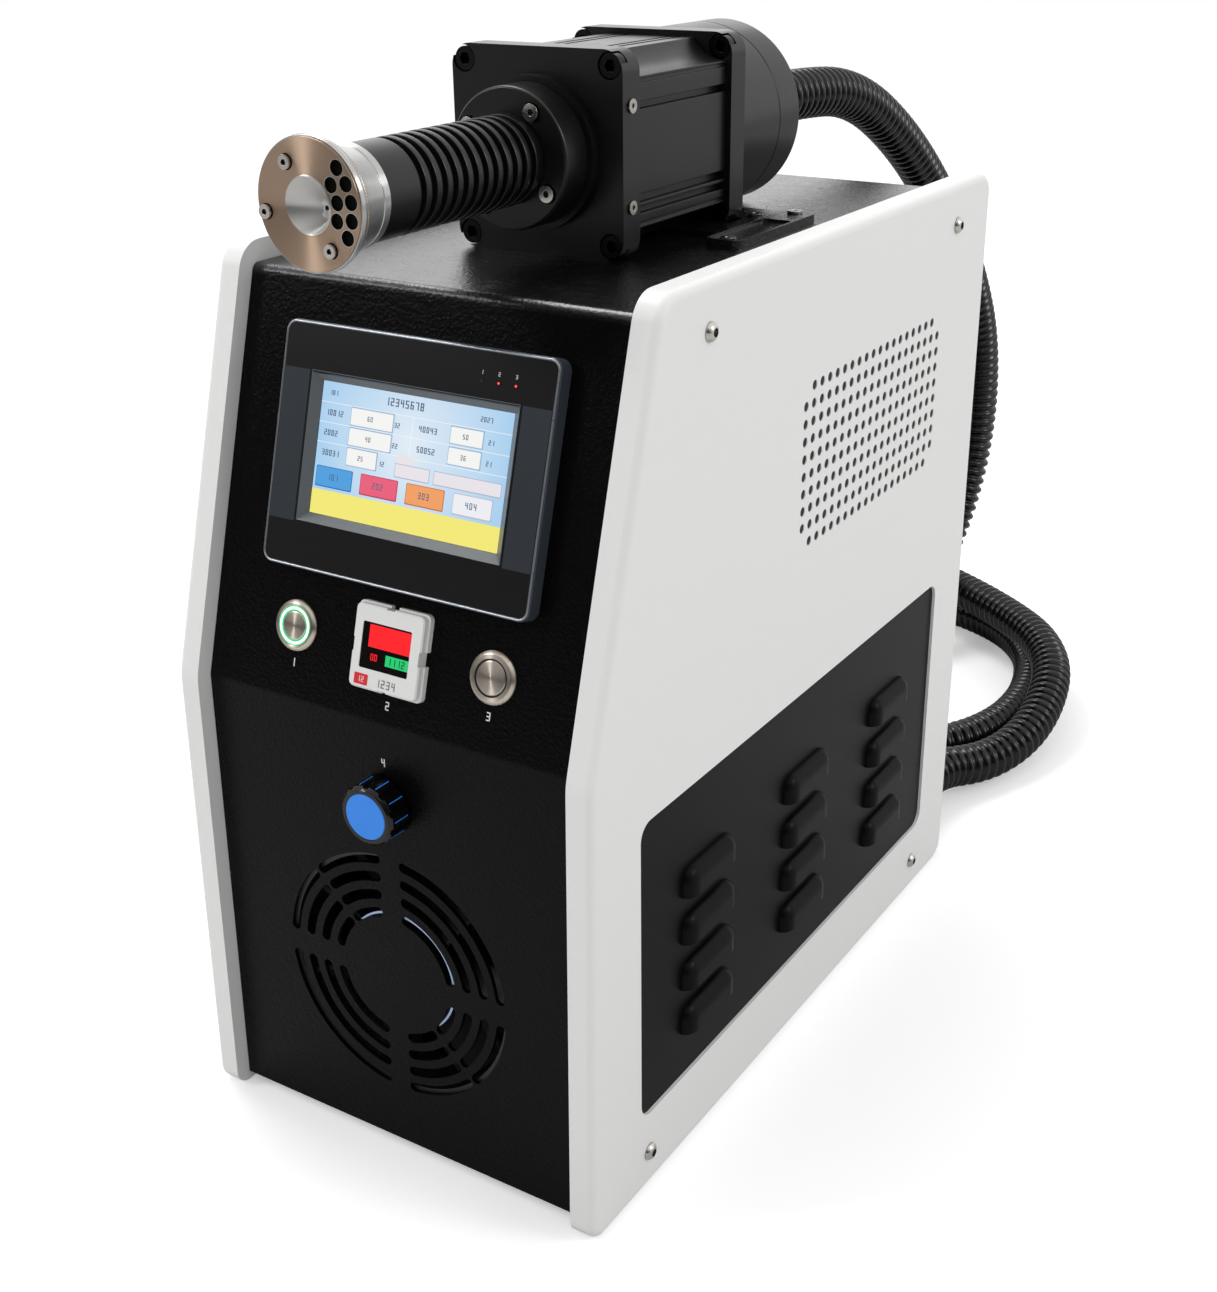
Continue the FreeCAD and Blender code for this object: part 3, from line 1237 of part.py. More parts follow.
parts["hose"] = hose()


# Write one file for each named piece
for name, shape in parts.items():
    solids = len(shape.Solids)
    if not shape.isValid() or solids == 0:
        print("CHECK", name, "valid", shape.isValid(), "solids", solids)
    shape.exportStep("parts/" + name + ".step")
everything = Part.makeCompound(list(parts.values()))
limits = everything.BoundBox
print("nodes", len(parts), "solids", len(everything.Solids))
print("box", round(limits.XMin, 1), round(limits.XMax, 1), round(limits.YMin, 1),
      round(limits.YMax, 1), round(limits.ZMin, 1), round(limits.ZMax, 1))
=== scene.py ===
import json
import math
import bmesh
import bpy
from mathutils import Matrix, Vector

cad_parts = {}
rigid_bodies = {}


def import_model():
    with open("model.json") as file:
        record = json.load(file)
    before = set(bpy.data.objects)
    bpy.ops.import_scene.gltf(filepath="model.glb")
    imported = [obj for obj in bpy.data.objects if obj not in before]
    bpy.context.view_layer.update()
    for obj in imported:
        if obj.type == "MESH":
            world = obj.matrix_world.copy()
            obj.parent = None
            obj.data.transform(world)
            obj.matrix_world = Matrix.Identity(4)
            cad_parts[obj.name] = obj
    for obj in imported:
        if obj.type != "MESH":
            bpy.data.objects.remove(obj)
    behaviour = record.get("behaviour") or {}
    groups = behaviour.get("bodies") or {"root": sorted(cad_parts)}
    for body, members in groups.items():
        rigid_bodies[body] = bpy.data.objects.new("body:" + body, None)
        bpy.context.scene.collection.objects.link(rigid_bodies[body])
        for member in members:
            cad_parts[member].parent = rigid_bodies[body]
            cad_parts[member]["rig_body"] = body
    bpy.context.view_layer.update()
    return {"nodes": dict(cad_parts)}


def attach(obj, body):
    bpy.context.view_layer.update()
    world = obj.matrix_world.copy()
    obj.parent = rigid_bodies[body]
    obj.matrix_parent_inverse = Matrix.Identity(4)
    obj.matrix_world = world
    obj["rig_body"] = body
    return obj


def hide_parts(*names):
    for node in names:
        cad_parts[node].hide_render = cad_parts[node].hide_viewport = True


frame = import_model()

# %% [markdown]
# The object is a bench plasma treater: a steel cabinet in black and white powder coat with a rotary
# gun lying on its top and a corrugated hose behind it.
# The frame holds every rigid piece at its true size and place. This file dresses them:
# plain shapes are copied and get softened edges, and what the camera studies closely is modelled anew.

MM = 0.001
nodes = frame["nodes"]


def linked(name, data):
    """A new object in the scene for a mesh, a curve, a camera or a lamp."""
    made = bpy.data.objects.new(name, data)
    bpy.context.scene.collection.objects.link(made)
    return made


def evaluated_mesh(carrier):
    """The mesh that a curve or a modified object amounts to; the carrier itself goes."""
    bpy.context.view_layer.update()
    drawn = bpy.data.meshes.new_from_object(carrier.evaluated_get(bpy.context.evaluated_depsgraph_get()))
    bpy.data.objects.remove(carrier)
    return drawn


# %% [markdown]
# The camera comes first. Its place was worked out from the straight edges of the cabinet,
# so every later picture can be laid beside the photograph.

# %% Camera
CAMERA_PLACE = Vector((0.42251, -0.66975, 0.53558))
CAMERA_AZIMUTH = math.radians(32.4887)
CAMERA_ELEVATION = math.radians(24.0708)
CAMERA_ROLL = math.radians(-0.6673)
CAMERA_LENS_MM = 48.30


def camera_turn():
    """The three directions of the camera as a rotation: right, up and backward."""
    level = math.cos(CAMERA_ELEVATION)
    climb = math.sin(CAMERA_ELEVATION)
    back = Vector((math.sin(CAMERA_AZIMUTH) * level, -math.cos(CAMERA_AZIMUTH) * level, climb))
    right = Vector((math.cos(CAMERA_AZIMUTH), math.sin(CAMERA_AZIMUTH), 0))
    up = back.cross(right)
    rolled_right = math.cos(CAMERA_ROLL) * right + math.sin(CAMERA_ROLL) * up
    rolled_up = math.cos(CAMERA_ROLL) * up - math.sin(CAMERA_ROLL) * right
    return Matrix((rolled_right, rolled_up, back)).transposed()


camera_data = bpy.data.cameras.new("camera")
camera_data.sensor_fit = "VERTICAL"
camera_data.sensor_height = 36
camera_data.lens = CAMERA_LENS_MM
camera_data.clip_start = 0.01
camera_data.clip_end = 50
camera = linked("camera", camera_data)
camera.matrix_world = Matrix.Translation(CAMERA_PLACE) @ camera_turn().to_4x4()
bpy.context.scene.camera = camera
print("camera stands", round(CAMERA_PLACE.length, 3), "m from the frame's origin")

# %% [markdown]
# The hose is one corrugated plastic pipe, 26 mm across. Its first turn lies on the table and the
# second climbs over the first, as the photograph shows on the right.
# A smooth spline through listed points gives its line, and a ring of points is pushed along
# that line to make the ribs. A plain bevelled curve would look like a rubber rod.

# %% Line of the hose
GUN_AXIS_Z = 0.42905
HOSE_RADIUS = 0.0130
HOSE_REST = HOSE_RADIUS + 0.0003
GLAND_REAR_Y = 0.2018
HOSE_PORT = (0.0775, 0.022)
hose_points = [
    (0, 0.1115, GUN_AXIS_Z),
    (0, 0.182, GUN_AXIS_Z),
    (0, 0.252, 0.423),
    (0, 0.322, 0.391),
    (0, 0.388, 0.345),
    (0, 0.448, 0.29),
    (-0.002, 0.496, 0.226),
    (-0.006, 0.512, 0.152),
    (-0.012, 0.492, 0.086),
    (-0.022, 0.442, 0.036),
    (-0.036, 0.382, HOSE_REST),
    (-0.055, 0.329, HOSE_REST),
    (-0.104, 0.283, HOSE_REST),
    (-0.169, 0.267, HOSE_REST),
    (-0.234, 0.286, HOSE_REST),
    (-0.281, 0.334, HOSE_REST),
    (-0.297, 0.4, HOSE_REST),
    (-0.279, 0.464, HOSE_REST),
    (-0.231, 0.512, HOSE_REST),
    (-0.166, 0.529, HOSE_REST),
    (-0.108, 0.529, HOSE_REST),
    (-0.054, 0.524, HOSE_REST),
    (-0.008, 0.515, HOSE_REST),
    (0.036, 0.495, HOSE_REST),
    (0.066, 0.461, HOSE_REST),
    (0.082, 0.42, HOSE_REST),
    (0.089, 0.378, HOSE_REST),
    (0.086, 0.336, HOSE_REST),
    (0.07, 0.298, HOSE_REST),
    (0.038, 0.27, HOSE_REST),
    (-0.012, 0.248, HOSE_REST),
    (-0.074, 0.234, HOSE_REST),
    (-0.144, 0.231, HOSE_REST),
    (-0.214, 0.24, HOSE_REST),
    (-0.272, 0.268, HOSE_REST),
    (-0.313, 0.314, HOSE_REST),
    (-0.331, 0.374, HOSE_REST),
    (-0.328, 0.436, 0.018),
    (-0.304, 0.494, 0.026),
    (-0.26, 0.536, 0.034),
    (-0.204, 0.556, 0.039),
    (-0.146, 0.552, 0.041),
    (-0.094, 0.535, 0.041),
    (-0.046, 0.514, 0.04),
    (0.002, 0.492, 0.039),
    (0.048, 0.462, 0.039),
    (0.082, 0.43, 0.04),
    (0.104, 0.394, 0.036),
    (0.112, 0.352, 0.026),
    (0.11, 0.314, 0.0185),
    (0.098, 0.28, 0.015),
    (HOSE_PORT[0], GLAND_REAR_Y + 0.042, HOSE_PORT[1]),
    (HOSE_PORT[0], GLAND_REAR_Y, HOSE_PORT[1]),
]


def smooth_line(points):
    """Points read along a NURBS spline whose control points are the given ones."""
    curve = bpy.data.curves.new("hose_line", "CURVE")
    curve.dimensions = "3D"
    spline = curve.splines.new("NURBS")
    spline.points.add(len(points) - 1)
    for target, point in zip(spline.points, points):
        target.co = (*point, 1)
    spline.order_u = 3
    spline.use_endpoint_u = True
    spline.resolution_u = 24
    drawn = evaluated_mesh(linked("hose_line", curve))
    line = [v.co.copy() for v in drawn.vertices]
    bpy.data.meshes.remove(drawn)
    return line


def even_steps(line, step):
    """The same line with its points a fixed step apart."""
    result = [line[0].copy()]
    left = step
    for a, b in zip(line, line[1:]):
        run = (b - a).length
        while run > left:
            a = a + (b - a).normalized() * left
            run -= left
            left = step
            result.append(a.copy())
        left -= run
    if (result[-1] - line[-1]).length > step * 0.5:
        result.append(line[-1].copy())
    else:
        result[-1] = line[-1].copy()
    return result


hose_line = smooth_line(hose_points)

# %% [markdown]
# Seven points make one rib: the radius drops into a rounded groove and comes back. The depths are
# metres below the crown of the rib.

# %% Ribs of the hose
RIB_PITCH = 0.0066
RIB_DEPTHS = (0.0, 0.0001, 0.0005, 0.0016, 0.0026, 0.0016, 0.0005)
RIB_STEPS = len(RIB_DEPTHS)
HOSE_SIDES = 28


def new_object(name, mesh, body, material=None):
    """Puts a finished mesh into the scene as a piece that rides on a body of the frame."""
    made = linked(name, mesh)
    if material is not None:
        mesh.materials.append(material)
    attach(made, body)
    return made


def ribbed_tube(name, line, body):
    """A flat grid rolled up round the line, narrower in each groove between two ribs."""
    count = len(line)
    bm = bmesh.new()
    bmesh.ops.create_grid(bm, x_segments=HOSE_SIDES, y_segments=count - 1, size=1.0)
    rows = [[] for _ in line]
    for v in bm.verts:
        rows[round((v.co.y + 1) / 2 * (count - 1))].append(v)
    across = Vector((1, 0, 0))
    for i, centre in enumerate(line):
        ahead = (line[min(i + 1, count - 1)] - line[max(i - 1, 0)]).normalized()
        across = (across - ahead * across.dot(ahead)).normalized()
        other = ahead.cross(across)
        radius = HOSE_RADIUS - RIB_DEPTHS[i % RIB_STEPS]
        for v in rows[i]:
            angle = (v.co.x + 1) * math.pi
            v.co = centre + (across * math.cos(angle) + other * math.sin(angle)) * radius
    bmesh.ops.remove_doubles(bm, verts=bm.verts, dist=0.00001)
    bmesh.ops.recalc_face_normals(bm, faces=bm.faces)
    mesh = bpy.data.meshes.new(name)
    bm.to_mesh(mesh)
    bm.free()
    mesh.shade_smooth()
    return new_object(name, mesh, body)


rib_line = even_steps(hose_line, RIB_PITCH / RIB_STEPS)
hose = ribbed_tube("corrugated_hose", rib_line, "cabinet")
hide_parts("hose")
print("hose faces", len(hose.data.polygons))

# %% [markdown]
# Colours are written as they look on a screen, in hex, and one function turns them to the linear
# values that the renderer adds up. One more function adds a shader node with its settings and links.

# %% Colour and node helpers


def linear(hex_colour):
    """Linear colour of an sRGB hex value."""
    channels = [int(hex_colour[i:i + 2], 16) / 255 for i in (1, 3, 5)]
    return tuple(c / 12.92 if c <= 0.04045 else ((c + 0.055) / 1.055) ** 2.4 for c in channels) + (1.0,)


def add(tree, kind, values=None, links=None, **settings):
    """Adds a shader node, sets its properties and input values and links sockets to its inputs."""
    made = tree.nodes.new("ShaderNode" + kind)
    for name, value in settings.items():
        setattr(made, name, value)
    for name, value in (values or {}).items():
        made.inputs[name].default_value = value
    for name, socket in (links or {}).items():
        tree.links.new(socket, made.inputs[name])
    return made


def start_material(name, colour, roughness, metallic=0.0, **values):
    """A Principled surface with its constant values on the shader's own sockets."""
    material = bpy.data.materials.new(name)
    material.use_nodes = True
    tree = material.node_tree
    shader = tree.nodes["Principled BSDF"]
    shader.inputs["Base Color"].default_value = linear(colour)
    shader.inputs["Roughness"].default_value = roughness
    shader.inputs["Metallic"].default_value = metallic
    for socket, value in values.items():
        shader.inputs[socket.replace("_", " ")].default_value = value
    return material, tree, shader


def object_place(tree):
    """Where a point lies in the object's own metres."""
    return add(tree, "TexCoord").outputs["Object"]


def grain(tree, scale_mm, detail=3.0, roughness=0.5):
    """Noise whose blobs are about scale_mm across."""
    return add(tree, "TexNoise", {"Scale": 1000 / scale_mm, "Detail": detail, "Roughness": roughness},
               {"Vector": object_place(tree)})


def bump(tree, shader, height, strength, depth_mm):
    """Raises the surface by up to depth_mm where the height socket is 1."""
    made = add(tree, "Bump", {"Strength": strength, "Distance": depth_mm * MM}, {"Height": height})
    tree.links.new(made.outputs["Normal"], shader.inputs["Normal"])


def vary_roughness(tree, shader, source, low, high):
    """Lets the roughness drift between two values with a pattern."""
    span = add(tree, "MapRange", {"To Min": low, "To Max": high}, {"Value": source})
    tree.links.new(span.outputs["Result"], shader.inputs["Roughness"])


print("middle grey is", round(linear("#808080")[0], 3), "in linear light")

# %% [markdown]
# The cabinet is sheet steel under powder coat. White powder melts to a satin skin with a soft
# orange peel. The black is a textured powder: it gathers in small wrinkles, so light breaks up in it.

# %% Powder coats


def white_powder_coat():
    """White powder coat baked on steel: satin, with a gentle orange peel about 1.4 mm across."""
    material, tree, shader = start_material("white_powder_coat", "#ECECEB", 0.42, Specular_IOR_Level=0.45)
    bump(tree, shader, grain(tree, 1.4, 3.0).outputs["Fac"], 0.35, 0.16)
    vary_roughness(tree, shader, grain(tree, 9.0).outputs["Fac"], 0.36, 0.50)
    return material


TOP_GLOSS_FROM = 0.3825
TOP_GLOSS_TO = 0.3870


def black_texture_coat():
    """Black textured powder coat: fine wrinkles about 1.5 mm apart that give a leathery sparkle.

    The top is rubbed by hands and hose, so it shines more than the upright faces."""
    material, tree, shader = start_material("black_texture_powder_coat", "#070707", 0.28)
    wrinkles = add(tree, "TexVoronoi", {"Scale": 1000 / 1.5, "Randomness": 1.0},
                   {"Vector": object_place(tree)}, feature="SMOOTH_F1")
    fine = grain(tree, 0.9, 4.0, 0.6)
    height = add(tree, "Math", None, {0: wrinkles.outputs["Distance"], 1: fine.outputs["Fac"]},
                 operation="ADD")
    bump(tree, shader, height.outputs["Value"], 0.6, 0.22)
    vary_roughness(tree, shader, grain(tree, 6.0).outputs["Fac"], 0.20, 0.32)
    height_above_table = add(tree, "SeparateXYZ", None, {"Vector": object_place(tree)}).outputs["Z"]
    gloss = add(tree, "MapRange", {"From Min": TOP_GLOSS_FROM, "From Max": TOP_GLOSS_TO, "To Min": 0.10,
                                   "To Max": 1.0}, {"Value": height_above_table})
    tree.links.new(gloss.outputs["Result"], shader.inputs["Specular IOR Level"])
    return material


def black_panel_coat():
    """Black satin powder coat of the louvred panels, smoother than the front."""
    material, tree, shader = start_material("black_satin_powder_coat", "#0A0A0B", 0.34,
                                            Specular_IOR_Level=0.09)
    bump(tree, shader, grain(tree, 1.2, 3.0).outputs["Fac"], 0.25, 0.10)
    return material


WHITE_COAT = white_powder_coat()
BLACK_COAT = black_texture_coat()
PANEL_COAT = black_panel_coat()
print("powder coats", WHITE_COAT.name, BLACK_COAT.name, PANEL_COAT.name)

# %% [markdown]
# The gun is aluminium, bead blasted and anodised black. The blasting gives a dense satin grain,
# so it looks greyer than the coat where light falls along it.

# %% Gun metals


def black_anodised():
    """Black anodised aluminium: very fine satin grain."""
    material, tree, shader = start_material("black_anodised_aluminium", "#0B0B0C", 0.28,
                                            Specular_IOR_Level=0.42)
    bump(tree, shader, grain(tree, 0.5, 2.0).outputs["Fac"], 0.12, 0.04)
    vary_roughness(tree, shader, grain(tree, 14.0).outputs["Fac"], 0.28, 0.38)
    return material


def axis_tangent(tree, centre, axis):
    """Direction away from the axis, for the shader's tangent, and the arm from the centre to the point."""
    away = add(tree, "VectorMath", {1: centre}, {0: object_place(tree)}, operation="SUBTRACT")
    turn = add(tree, "VectorMath", {0: axis}, {1: away.outputs["Vector"]}, operation="CROSS_PRODUCT")
    across = add(tree, "VectorMath", {1: axis}, {0: turn.outputs["Vector"]}, operation="CROSS_PRODUCT")
    return add(tree, "VectorTransform", None, {"Vector": across.outputs["Vector"]}, vector_type="VECTOR",
               convert_from="OBJECT", convert_to="WORLD").outputs["Vector"], away.outputs["Vector"]


def turned_metal(name, colour, roughness, centre, axis, ring_mm, depth_mm):
    """Metal turned on a lathe: fine rings round its axis that pull highlights into radial streaks."""
    material, tree, shader = start_material(name, colour, roughness, 1.0, Anisotropic=0.95)
    tangent, away = axis_tangent(tree, centre, axis)
    tree.links.new(tangent, shader.inputs["Tangent"])
    distance = add(tree, "VectorMath", None, {0: away}, operation="LENGTH")
    scaled = add(tree, "Math", {1: 1000 / ring_mm}, {0: distance.outputs["Value"]}, operation="MULTIPLY")
    rings = add(tree, "TexNoise", {"Scale": 1.0, "Detail": 2.0}, {"W": scaled.outputs["Value"]},
                noise_dimensions="1D")
    bump(tree, shader, rings.outputs["Fac"], 0.3, depth_mm)
    return material


def bright_steel(name, colour, roughness):
    """Bare or plated steel: bright, with small scuffs."""
    material, tree, shader = start_material(name, colour, roughness, 1.0)
    vary_roughness(tree, shader, grain(tree, 1.5).outputs["Fac"], roughness * 0.7, roughness * 1.4)
    return material


def screw_metal_with_painted_shade(name, colour, roughness, reach_mm):
    """Screw steel with painted shade: its colour turns near black where ambient occlusion finds the socket
    enclosed; reach_mm is about the socket's depth.
    """
    material, tree, shader = start_material(name, colour, roughness, 1.0)
    # Painted shade: ambient occlusion darkens the colour in sockets and recesses.
    open_sky = add(tree, "AmbientOcclusion", {"Distance": reach_mm * MM})
    span = add(tree, "MapRange", {"From Min": 0.35, "From Max": 0.8}, {"Value": open_sky.outputs["AO"]})
    mix = add(tree, "Mix", {"A": linear("#050505"), "B": linear(colour)},
              {"Factor": span.outputs["Result"]}, data_type="RGBA")
    tree.links.new(mix.outputs["Result"], shader.inputs["Base Color"])
    return material


NOZZLE_CENTRE = (0, -0.2003, GUN_AXIS_Z)
NOZZLE_AXIS = (0, 1, 0)
ANODISED = black_anodised()
NOZZLE_STEEL = turned_metal("turned_stainless_steel", "#C4C4C2", 0.30, NOZZLE_CENTRE, NOZZLE_AXIS, 0.35,
                            0.008)
CONE_STEEL = turned_metal("polished_cone_steel", "#D8D7D4", 0.36, NOZZLE_CENTRE, NOZZLE_AXIS, 0.5, 0.004)
BRONZE = turned_metal("turned_bronze", "#C0A690", 0.42, NOZZLE_CENTRE, NOZZLE_AXIS, 0.3, 0.008)
SCREW_STEEL = screw_metal_with_painted_shade("stainless_screw_steel", "#CFCBC4", 0.22, 2.2)
BLACK_SCREW = screw_metal_with_painted_shade("black_oxide_steel", "#2A2A2C", 0.30, 3.0)
PLAIN_STEEL = bright_steel("ground_steel", "#B9B9B8", 0.32)
ZINC = bright_steel("zinc_plated_steel", "#9FA3A3", 0.42)
BRASS = bright_steel("machined_brass", "#C6A25E", 0.32)
print("metals", ANODISED.name, NOZZLE_STEEL.name, BRONZE.name, BRASS.name)

# %% [markdown]
# Plastics differ mostly in gloss. The hose and the knob are moulded black plastic with a sharp
# highlight, the switch frame is a soft white moulding, and the screen frame is slate grey.

# %% Plastics and lights


def moulded(name, colour, roughness, grain_mm=0.8, depth_mm=0.02, **values):
    """Moulded plastic with a faint grain from its mould."""
    material, tree, shader = start_material(name, colour, roughness, 0.0, **values)
    bump(tree, shader, grain(tree, grain_mm, 2.0).outputs["Fac"], 0.2, depth_mm)
    return material


def glowing(name, colour, strength, light=None):
    """A lit face: its own colour plus the light it gives."""
    material, tree, shader = start_material(name, colour, 0.35)
    shader.inputs["Emission Color"].default_value = linear(light or colour)
    shader.inputs["Emission Strength"].default_value = strength
    return material


HOSE_PLASTIC = moulded("polyamide_hose_black", "#080809", 0.20, 1.5, 0.02, Specular_IOR_Level=0.4)
KNOB_PLASTIC = moulded("phenolic_knob_black", "#090909", 0.14)
KNOB_BLUE = moulded("abs_knob_blue", "#2D8CF5", 0.38, 0.6)
SWITCH_WHITE = moulded("polycarbonate_white", "#E8E8E6", 0.38)
SCREEN_FRAME = moulded("abs_slate_grey", "#3C424A", 0.36)
SCREEN_BLACK = moulded("overlay_black", "#0C0C0C", 0.30, 2.0, 0.005)
SCREEN_SLATE = moulded("overlay_slate", "#30363D", 0.30, 2.0, 0.005)
WELL_GREY = moulded("abs_well_grey", "#62676C", 0.30, 2.0, 0.005)
SCREEN_LINE = bright_steel("bezel_line_silver", "#B9BDC2", 0.30)
INK_WHITE = moulded("printed_ink_white", "#E6E6E6", 0.5, 0.4, 0.002)
INK_GREY = moulded("printed_ink_grey", "#77797C", 0.5, 0.4, 0.002)
INK_RED = moulded("printed_ink_red", "#E0242E", 0.4, 0.4, 0.002)
BLACK_PLASTIC = moulded("pbt_black", "#1B1B1C", 0.42)
# Near-black matte used only as painted shade in holes and recesses.
PAINTED_SHADE_BLACK = moulded("painted_shade_black", "#0A0908", 0.8, 2.0, 0.002, Specular_IOR_Level=0.1)
RUBBER = moulded("nitrile_rubber_black", "#19191A", 0.65, 0.6)
BOARD_GREEN = moulded("glass_epoxy_green", "#1F6A43", 0.35)
CORE_BROWN = moulded("varnished_laminations", "#5A4A40", 0.5)
GLASS_DARK = moulded("smoked_window", "#0B0606", 0.12, 3.0, 0.002)
LAMP_RED = glowing("lamp_red", "#FF3B3B", 2.2)
LAMP_OFF = moulded("lamp_dark", "#3A2A1C", 0.3)
RING_GREEN = glowing("lit_ring_green", "#0E8F5C", 0.9, "#10C880")
RING_CORE = glowing("lit_ring_core", "#E9FFF3", 1.0, "#E6FFF2")
DIGIT_RED = glowing("lit_segment_red", "#7A0508", 0.95, "#F5101C")
DIGIT_GREEN = glowing("lit_segment_green", "#0A6A38", 0.85, "#14C86E")
DIGIT_DARK = glowing("lit_segment_dark", "#06401F", 0.2, "#0A5A30")
print("plastics and lights", len(bpy.data.materials), "finishes so far")

# %% [markdown]
# Each front face is its own sloping board. A local frame with x across, y up the face and z out of it
# lets every control be placed by the sizes that a panel drawing would give. The nozzle's front has
# such a frame too.

# %% Local frames
LOWER_EDGE = Vector((0, -0.185407, 0.0046))
FOLD_EDGE = Vector((0, -0.181222, 0.215914))
TOP_EDGE = Vector((0, -0.130814, 0.3869))


def face_frame(origin, towards):
    """Frame of a sloping face from a point of its lower edge and the point above it."""
    up = (towards - origin).normalized()
    across = Vector((1, 0, 0))
    out = across.cross(up)
    turn = Matrix((across, up, out)).transposed().to_4x4()
    return Matrix.Translation(origin) @ turn


UPPER = face_frame(FOLD_EDGE, TOP_EDGE)
LOWER = face_frame(LOWER_EDGE, FOLD_EDGE)
NOZZLE = Matrix.Translation(NOZZLE_CENTRE) @ Matrix.Rotation(math.radians(90), 4, "X")
print("upper face leans", round(math.degrees(math.atan2(UPPER[1][1], UPPER[2][1])), 1), "degrees")

# %% [markdown]
# A few small tools make nearly every new piece: a copy of a frame piece with softened edges,
# a turned shape, flat tiles, discs and rings with a thickness, and a thin wire round a window.
# Real edges are never sharp, and the thin highlight on them is what makes metal look like metal.

# %% Shape tools
WELD_DISTANCE = 0.000002
FLAT_LIMIT = math.radians(0.6)
RING_THICKNESS = 0.12
HAIR = 1e-6


def frame_copy(node):
    """A frame piece's shape, welded, with the facets of each flat face joined."""
    bm = bmesh.new()
    bm.from_mesh(nodes[node].data)
    bmesh.ops.remove_doubles(bm, verts=bm.verts, dist=WELD_DISTANCE)
    bmesh.ops.dissolve_limit(bm, angle_limit=FLAT_LIMIT, verts=bm.verts, edges=bm.edges)
    return bm


def settle(bm, placed):
    """Turns a shape drawn in millimetres into metres and moves it to its place."""
    bmesh.ops.scale(bm, vec=(MM, MM, MM), verts=bm.verts)
    bmesh.ops.transform(bm, matrix=placed, verts=bm.verts)


def finish_mesh(bm, name, smooth_deg=32):
    """Ends a shape as a smooth mesh that stays sharp where faces turn by more than smooth_deg."""
    mesh = bpy.data.meshes.new(name)
    bm.to_mesh(mesh)
    bm.free()
    mesh.shade_smooth()
    mesh.set_sharp_from_angle(angle=math.radians(smooth_deg))
    return mesh


def soften(bm, width, angle_deg=30, segments=2):
    """Bevels every edge that turns by more than the angle."""
    limit = math.radians(angle_deg)
    edges = [e for e in bm.edges if len(e.link_faces) == 2 and e.calc_face_angle(0) > limit]
    bmesh.ops.bevel(bm, geom=edges, offset=width, offset_type="OFFSET", segments=segments, profile=0.5,
                    affect="EDGES", clamp_overlap=True, material=-1)


def hold_flats(made):
    """Weighs normals by face area, so that rounded edges don't bend the shading of flat sheet."""
    weigh = made.modifiers.new("flat_faces", "WEIGHTED_NORMAL")
    weigh.mode = "FACE_AREA"
    weigh.weight = 90
    weigh.keep_sharp = True
    return made


def dressed(node, material, edge_mm=0.0):
    """A smooth copy of one frame piece, with its edges softened, that stands for it."""
    bm = frame_copy(node)
    if edge_mm:
        soften(bm, edge_mm * MM)
    name = node + "_dressed"
    made = new_object(name, finish_mesh(bm, name), nodes[node]["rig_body"], material)
    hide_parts(node)
    return hold_flats(made)


def lathe(profile, placed, steps=96):
    """Turns a closed profile of (radius, height) pairs, in millimetres, round the local z axis."""
    bm = bmesh.new()
    line = [bm.verts.new((r, 0, z)) for r, z in profile]
    edges = [bm.edges.new(pair) for pair in zip(line, line[1:] + line[:1])]
    bmesh.ops.spin(bm, geom=line + edges, cent=(0, 0, 0), axis=(0, 0, 1), angle=math.tau, steps=steps,
                   use_merge=True)
    bmesh.ops.remove_doubles(bm, verts=bm.verts, dist=0.0005)
    bmesh.ops.recalc_face_normals(bm, faces=bm.faces)
    settle(bm, placed)
    return bm


def piece(bm, name, body, material, replaces=(), smooth_deg=32):
    """A finished shape in the scene, on its body, with its material."""
    made = new_object(name, finish_mesh(bm, name, smooth_deg), body, material)
    if replaces:
        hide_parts(*replaces)
    return hold_flats(made)


def tiles(name, placed, rectangles, z0, z1, material, slot, body="cabinet", corner=0.0):
    """Flat rectangles (x, y, width, height) of one thickness, in millimetres, as one piece."""
    bm = bmesh.new()
    for x, y, width, height in rectangles:
        shape = Matrix.Translation((x, y, (z0 + z1) / 2)) @ Matrix.Diagonal((width, height, z1 - z0, 1))
        bmesh.ops.create_cube(bm, size=1.0, matrix=shape)
    if corner:
        upright = [e for e in bm.edges if abs(e.verts[0].co.z - e.verts[1].co.z) > HAIR]
        bmesh.ops.bevel(bm, geom=upright, offset=corner, offset_type="OFFSET", segments=4, profile=0.5,
                        affect="EDGES", material=-1)
    settle(bm, placed)
    return piece(bm, name, body, material)


def discs(name, placed, centres, radius, z0, z1, material, body="cabinet"):
    """Round flat dots of one size as one piece."""
    bm = bmesh.new()
    for x, y in centres:
        bmesh.ops.create_cone(bm, cap_ends=True, segments=32, radius1=radius, radius2=radius, depth=z1 - z0,
                              matrix=Matrix.Translation((x, y, (z0 + z1) / 2)))
    settle(bm, placed)
    return piece(bm, name, body, material)


def rings(name, placed, centres, inner, outer, z, material, slot, body="cabinet"):
    """Thin flat rings of one size as one piece."""
    bm = bmesh.new()
    for x, y in centres:
        loops = []
        for radius in (inner, outer):
            loop = bmesh.ops.create_circle(bm, segments=40, radius=radius,
                                           matrix=Matrix.Translation((x, y, z)))["verts"]
            loops += {e for v in loop for e in v.link_edges}
        bmesh.ops.bridge_loops(bm, edges=loops)
    bmesh.ops.recalc_face_normals(bm, faces=bm.faces)
    bmesh.ops.solidify(bm, geom=bm.faces, thickness=RING_THICKNESS)
    bmesh.ops.recalc_face_normals(bm, faces=bm.faces)
    settle(bm, placed)
    return piece(bm, name, body, material)


def turned_piece(name, profile, placed, material, body="cabinet"):
    """A turned shape as one piece."""
    return piece(lathe(profile, placed), name, body, material)


SEGMENTS = {"0": "abcdef", "1": "bc", "2": "abged", "3": "abgcd", "4": "fgbc", "5": "afgcd",
            "6": "afgedc", "7": "abc", "8": "abcdefg", "9": "abcdfg"}


